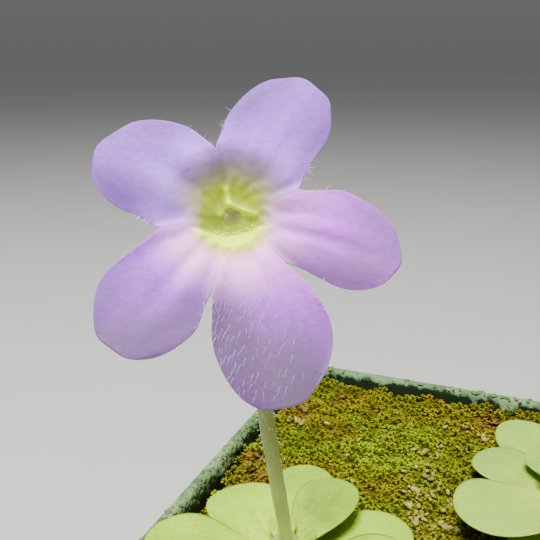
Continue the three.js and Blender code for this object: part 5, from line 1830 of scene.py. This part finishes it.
def drain_cutters():
    """Slots through the floor and notches in the foot, as closed prisms for the four sides."""
    straight, half = (DRAIN_LENGTH - DRAIN_WIDTH) / 2, DRAIN_WIDTH / 2
    bow = np.linspace(-90, 90, 9)
    slot = np.concatenate([straight + turned(half, bow), -straight + turned(half, bow + 180)])
    rise = turned(NOTCH_HEIGHT, np.linspace(0, 180, 13))
    arch = np.clip(rise.real / NOTCH_HEIGHT * straight * 1.3, -straight, straight)
    arch = np.append(arch, [-straight, straight])
    height = np.append(np.maximum(rise.imag, -0.1), [SLOT_FROM, SLOT_FROM])
    parts = []
    for k in range(4):
        way = turned(1, 90 * k)
        parts.append(prism(*[raised((slot + 1j * DRAIN_OFFSET) * way, z) for z in (SLOT_FROM, SLOT_TO)]))
        parts.append(prism(*[raised((arch + 1j * out) * way, height) for out in (NOTCH_TO, NOTCH_FROM)]))
    return together(parts)


cutter_points, cutter_faces = drain_cutters()
cutter_mesh = bpy.data.meshes.new("drain_cutters")
cutter_mesh.from_pydata((cutter_points * MM).tolist(), [], cutter_faces[0].tolist())
cutters = bpy.data.objects.new("drain_cutters", cutter_mesh)
bpy.context.scene.collection.objects.link(cutters)
cutting = pot.modifiers.new("drains", "BOOLEAN")
cutting.operation, cutting.object, cutting.solver = "DIFFERENCE", cutters, "EXACT"
cut_mesh = bpy.data.meshes.new_from_object(pot.evaluated_get(bpy.context.evaluated_depsgraph_get()))
pot.modifiers.remove(cutting)
pot.data = cut_mesh
bpy.data.objects.remove(cutters)
pot.data.shade_smooth()
pot.modifiers.new("crisp_corners", "EDGE_SPLIT").split_angle = CREASE * DEGREE
print("pot after cutting:", len(pot.data.polygons), "faces")

# %% [markdown]
# ## Lime crust
# On the rim the lime stands up in small knobs, most on the side where water dried. Flattened grains are
# strewn along the lip's top and its inner edge, and larger ones in clusters down the inside of the left
# wall.

# %% Lime knobs
CRUST_HALF, CRUST_CORNER = 43.6, 7.6
RIM_TRIES, WALL_KNOBS = 2300, 420
WALL_CLUSTERS = [-31, -24, -17, -9, 2, 15, 24]  # places along the left wall
crust_material, nodes = new_finish("lime_crust", {"Roughness": 0.9, "Specular IOR Level": 0.2})
cloud = nodes.use(patches, {"Large": 3, "Small": 0.5})
crust_colour = nodes.blend(cloud["Broad"], paint(64, 92, 52), paint(98, 126, 82))
nodes.finish("Base Color", nodes.over(crust_colour, paint(86, 90, 36), cloud["Fine"], 0.5))
nodes.finish("Normal", nodes.relief(nodes.noise(0.2, 4), 0.12))
crust_draw = np.random.default_rng(41)


def along_rim(share, inset):
    """A spot on the lip's top, for a share of the way round and a distance in from the middle line."""
    ring = rounded_square(CRUST_HALF - inset, CRUST_CORNER - inset, POT_HEIGHT)
    at = (share % 1) * len(ring)
    k = int(at) % len(ring)
    return mix(ring[k], ring[(k + 1) % len(ring)], at % 1)


def crust_shares(count):
    """Shares of the way round where knobs sit, in clusters and thickest on the left."""
    share = crust_draw.uniform(0, 1, count)
    turn = 2 * np.pi * share
    thick = 0.35 + 0.4 * np.sin(9 * turn + 1) * np.sin(4 * turn) + 0.45 * (np.abs(share - 0.5) < 0.14)
    return share[crust_draw.uniform(0, 1, count) < thick]


shares = crust_shares(RIM_TRIES)
insets = crust_draw.beta(2, 2, len(shares)) * 1.9 - 1.0
rim_spots = np.array([along_rim(share, inset) for share, inset in zip(shares, insets)])
rim_spots[:, 2] -= np.where(insets > 0.55, insets - 0.55, 0.02)
rim_sizes = np.exp(crust_draw.normal(np.log(0.28), 0.4, len(shares))).clip(0.12, 0.6)
rim_up = np.column_stack([crust_draw.normal(0, 0.25, (len(shares), 2)), np.ones(len(shares))])

depth = 0.4 + 3.6 * crust_draw.beta(1.1, 2.2, WALL_KNOBS)
along_wall = crust_draw.choice(WALL_CLUSTERS, WALL_KNOBS) + crust_draw.normal(0, 2.6, WALL_KNOBS)
wall_x = np.full(WALL_KNOBS, 0.1 - wall_ring(POT_HEIGHT, POT_WALL)[0])
wall_spots = np.column_stack([wall_x, along_wall, POT_HEIGHT - depth])
wall_sizes = crust_draw.uniform(0.25, 0.75, WALL_KNOBS)
wall_up = np.column_stack([np.ones(WALL_KNOBS), crust_draw.normal(0, 0.3, (WALL_KNOBS, 2))])

spots, up = np.concatenate([rim_spots, wall_spots]), unit(np.concatenate([rim_up, wall_up]))
widths = crust_draw.uniform(0.8, 1.5, (len(spots), 2))
stretch = np.append(rim_sizes, wall_sizes)[:, None] * np.column_stack([widths, np.full(len(spots), 0.45)])
axes = axes_on(up, crust_draw.uniform(0, 360, len(spots)))
points, faces = copies(*ball(6, 3), spots, axes, stretch)
make_piece("lime_knobs", points, faces, crust_material)

# %% [markdown]
# ## Potting mix
# The mix fills the pot under the moss, and only shows through the slots in the floor. Its solid stays as it
# is and gets the finish of damp peat with grains of sand.

# %% Potting mix
mix_material, nodes = new_finish("damp_peat", {"Roughness": 0.95, "Specular IOR Level": 0.15})
peat = nodes.blend(nodes.noise(1.5, 5), paint(58, 42, 28), paint(96, 74, 50))
grains = nodes.use(skin, {"Cell Size": 0.9})["Domes"]
nodes.finish("Base Color", nodes.blend(nodes.fade(grains, 0.82, 0.92), peat, paint(164, 150, 126)))
nodes.finish("Normal", nodes.relief(nodes.plus(grains, nodes.noise(0.6, 4)), 0.6))
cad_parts["potting_mix"].material_slots[0].material = mix_material
print("potting mix keeps its solid")
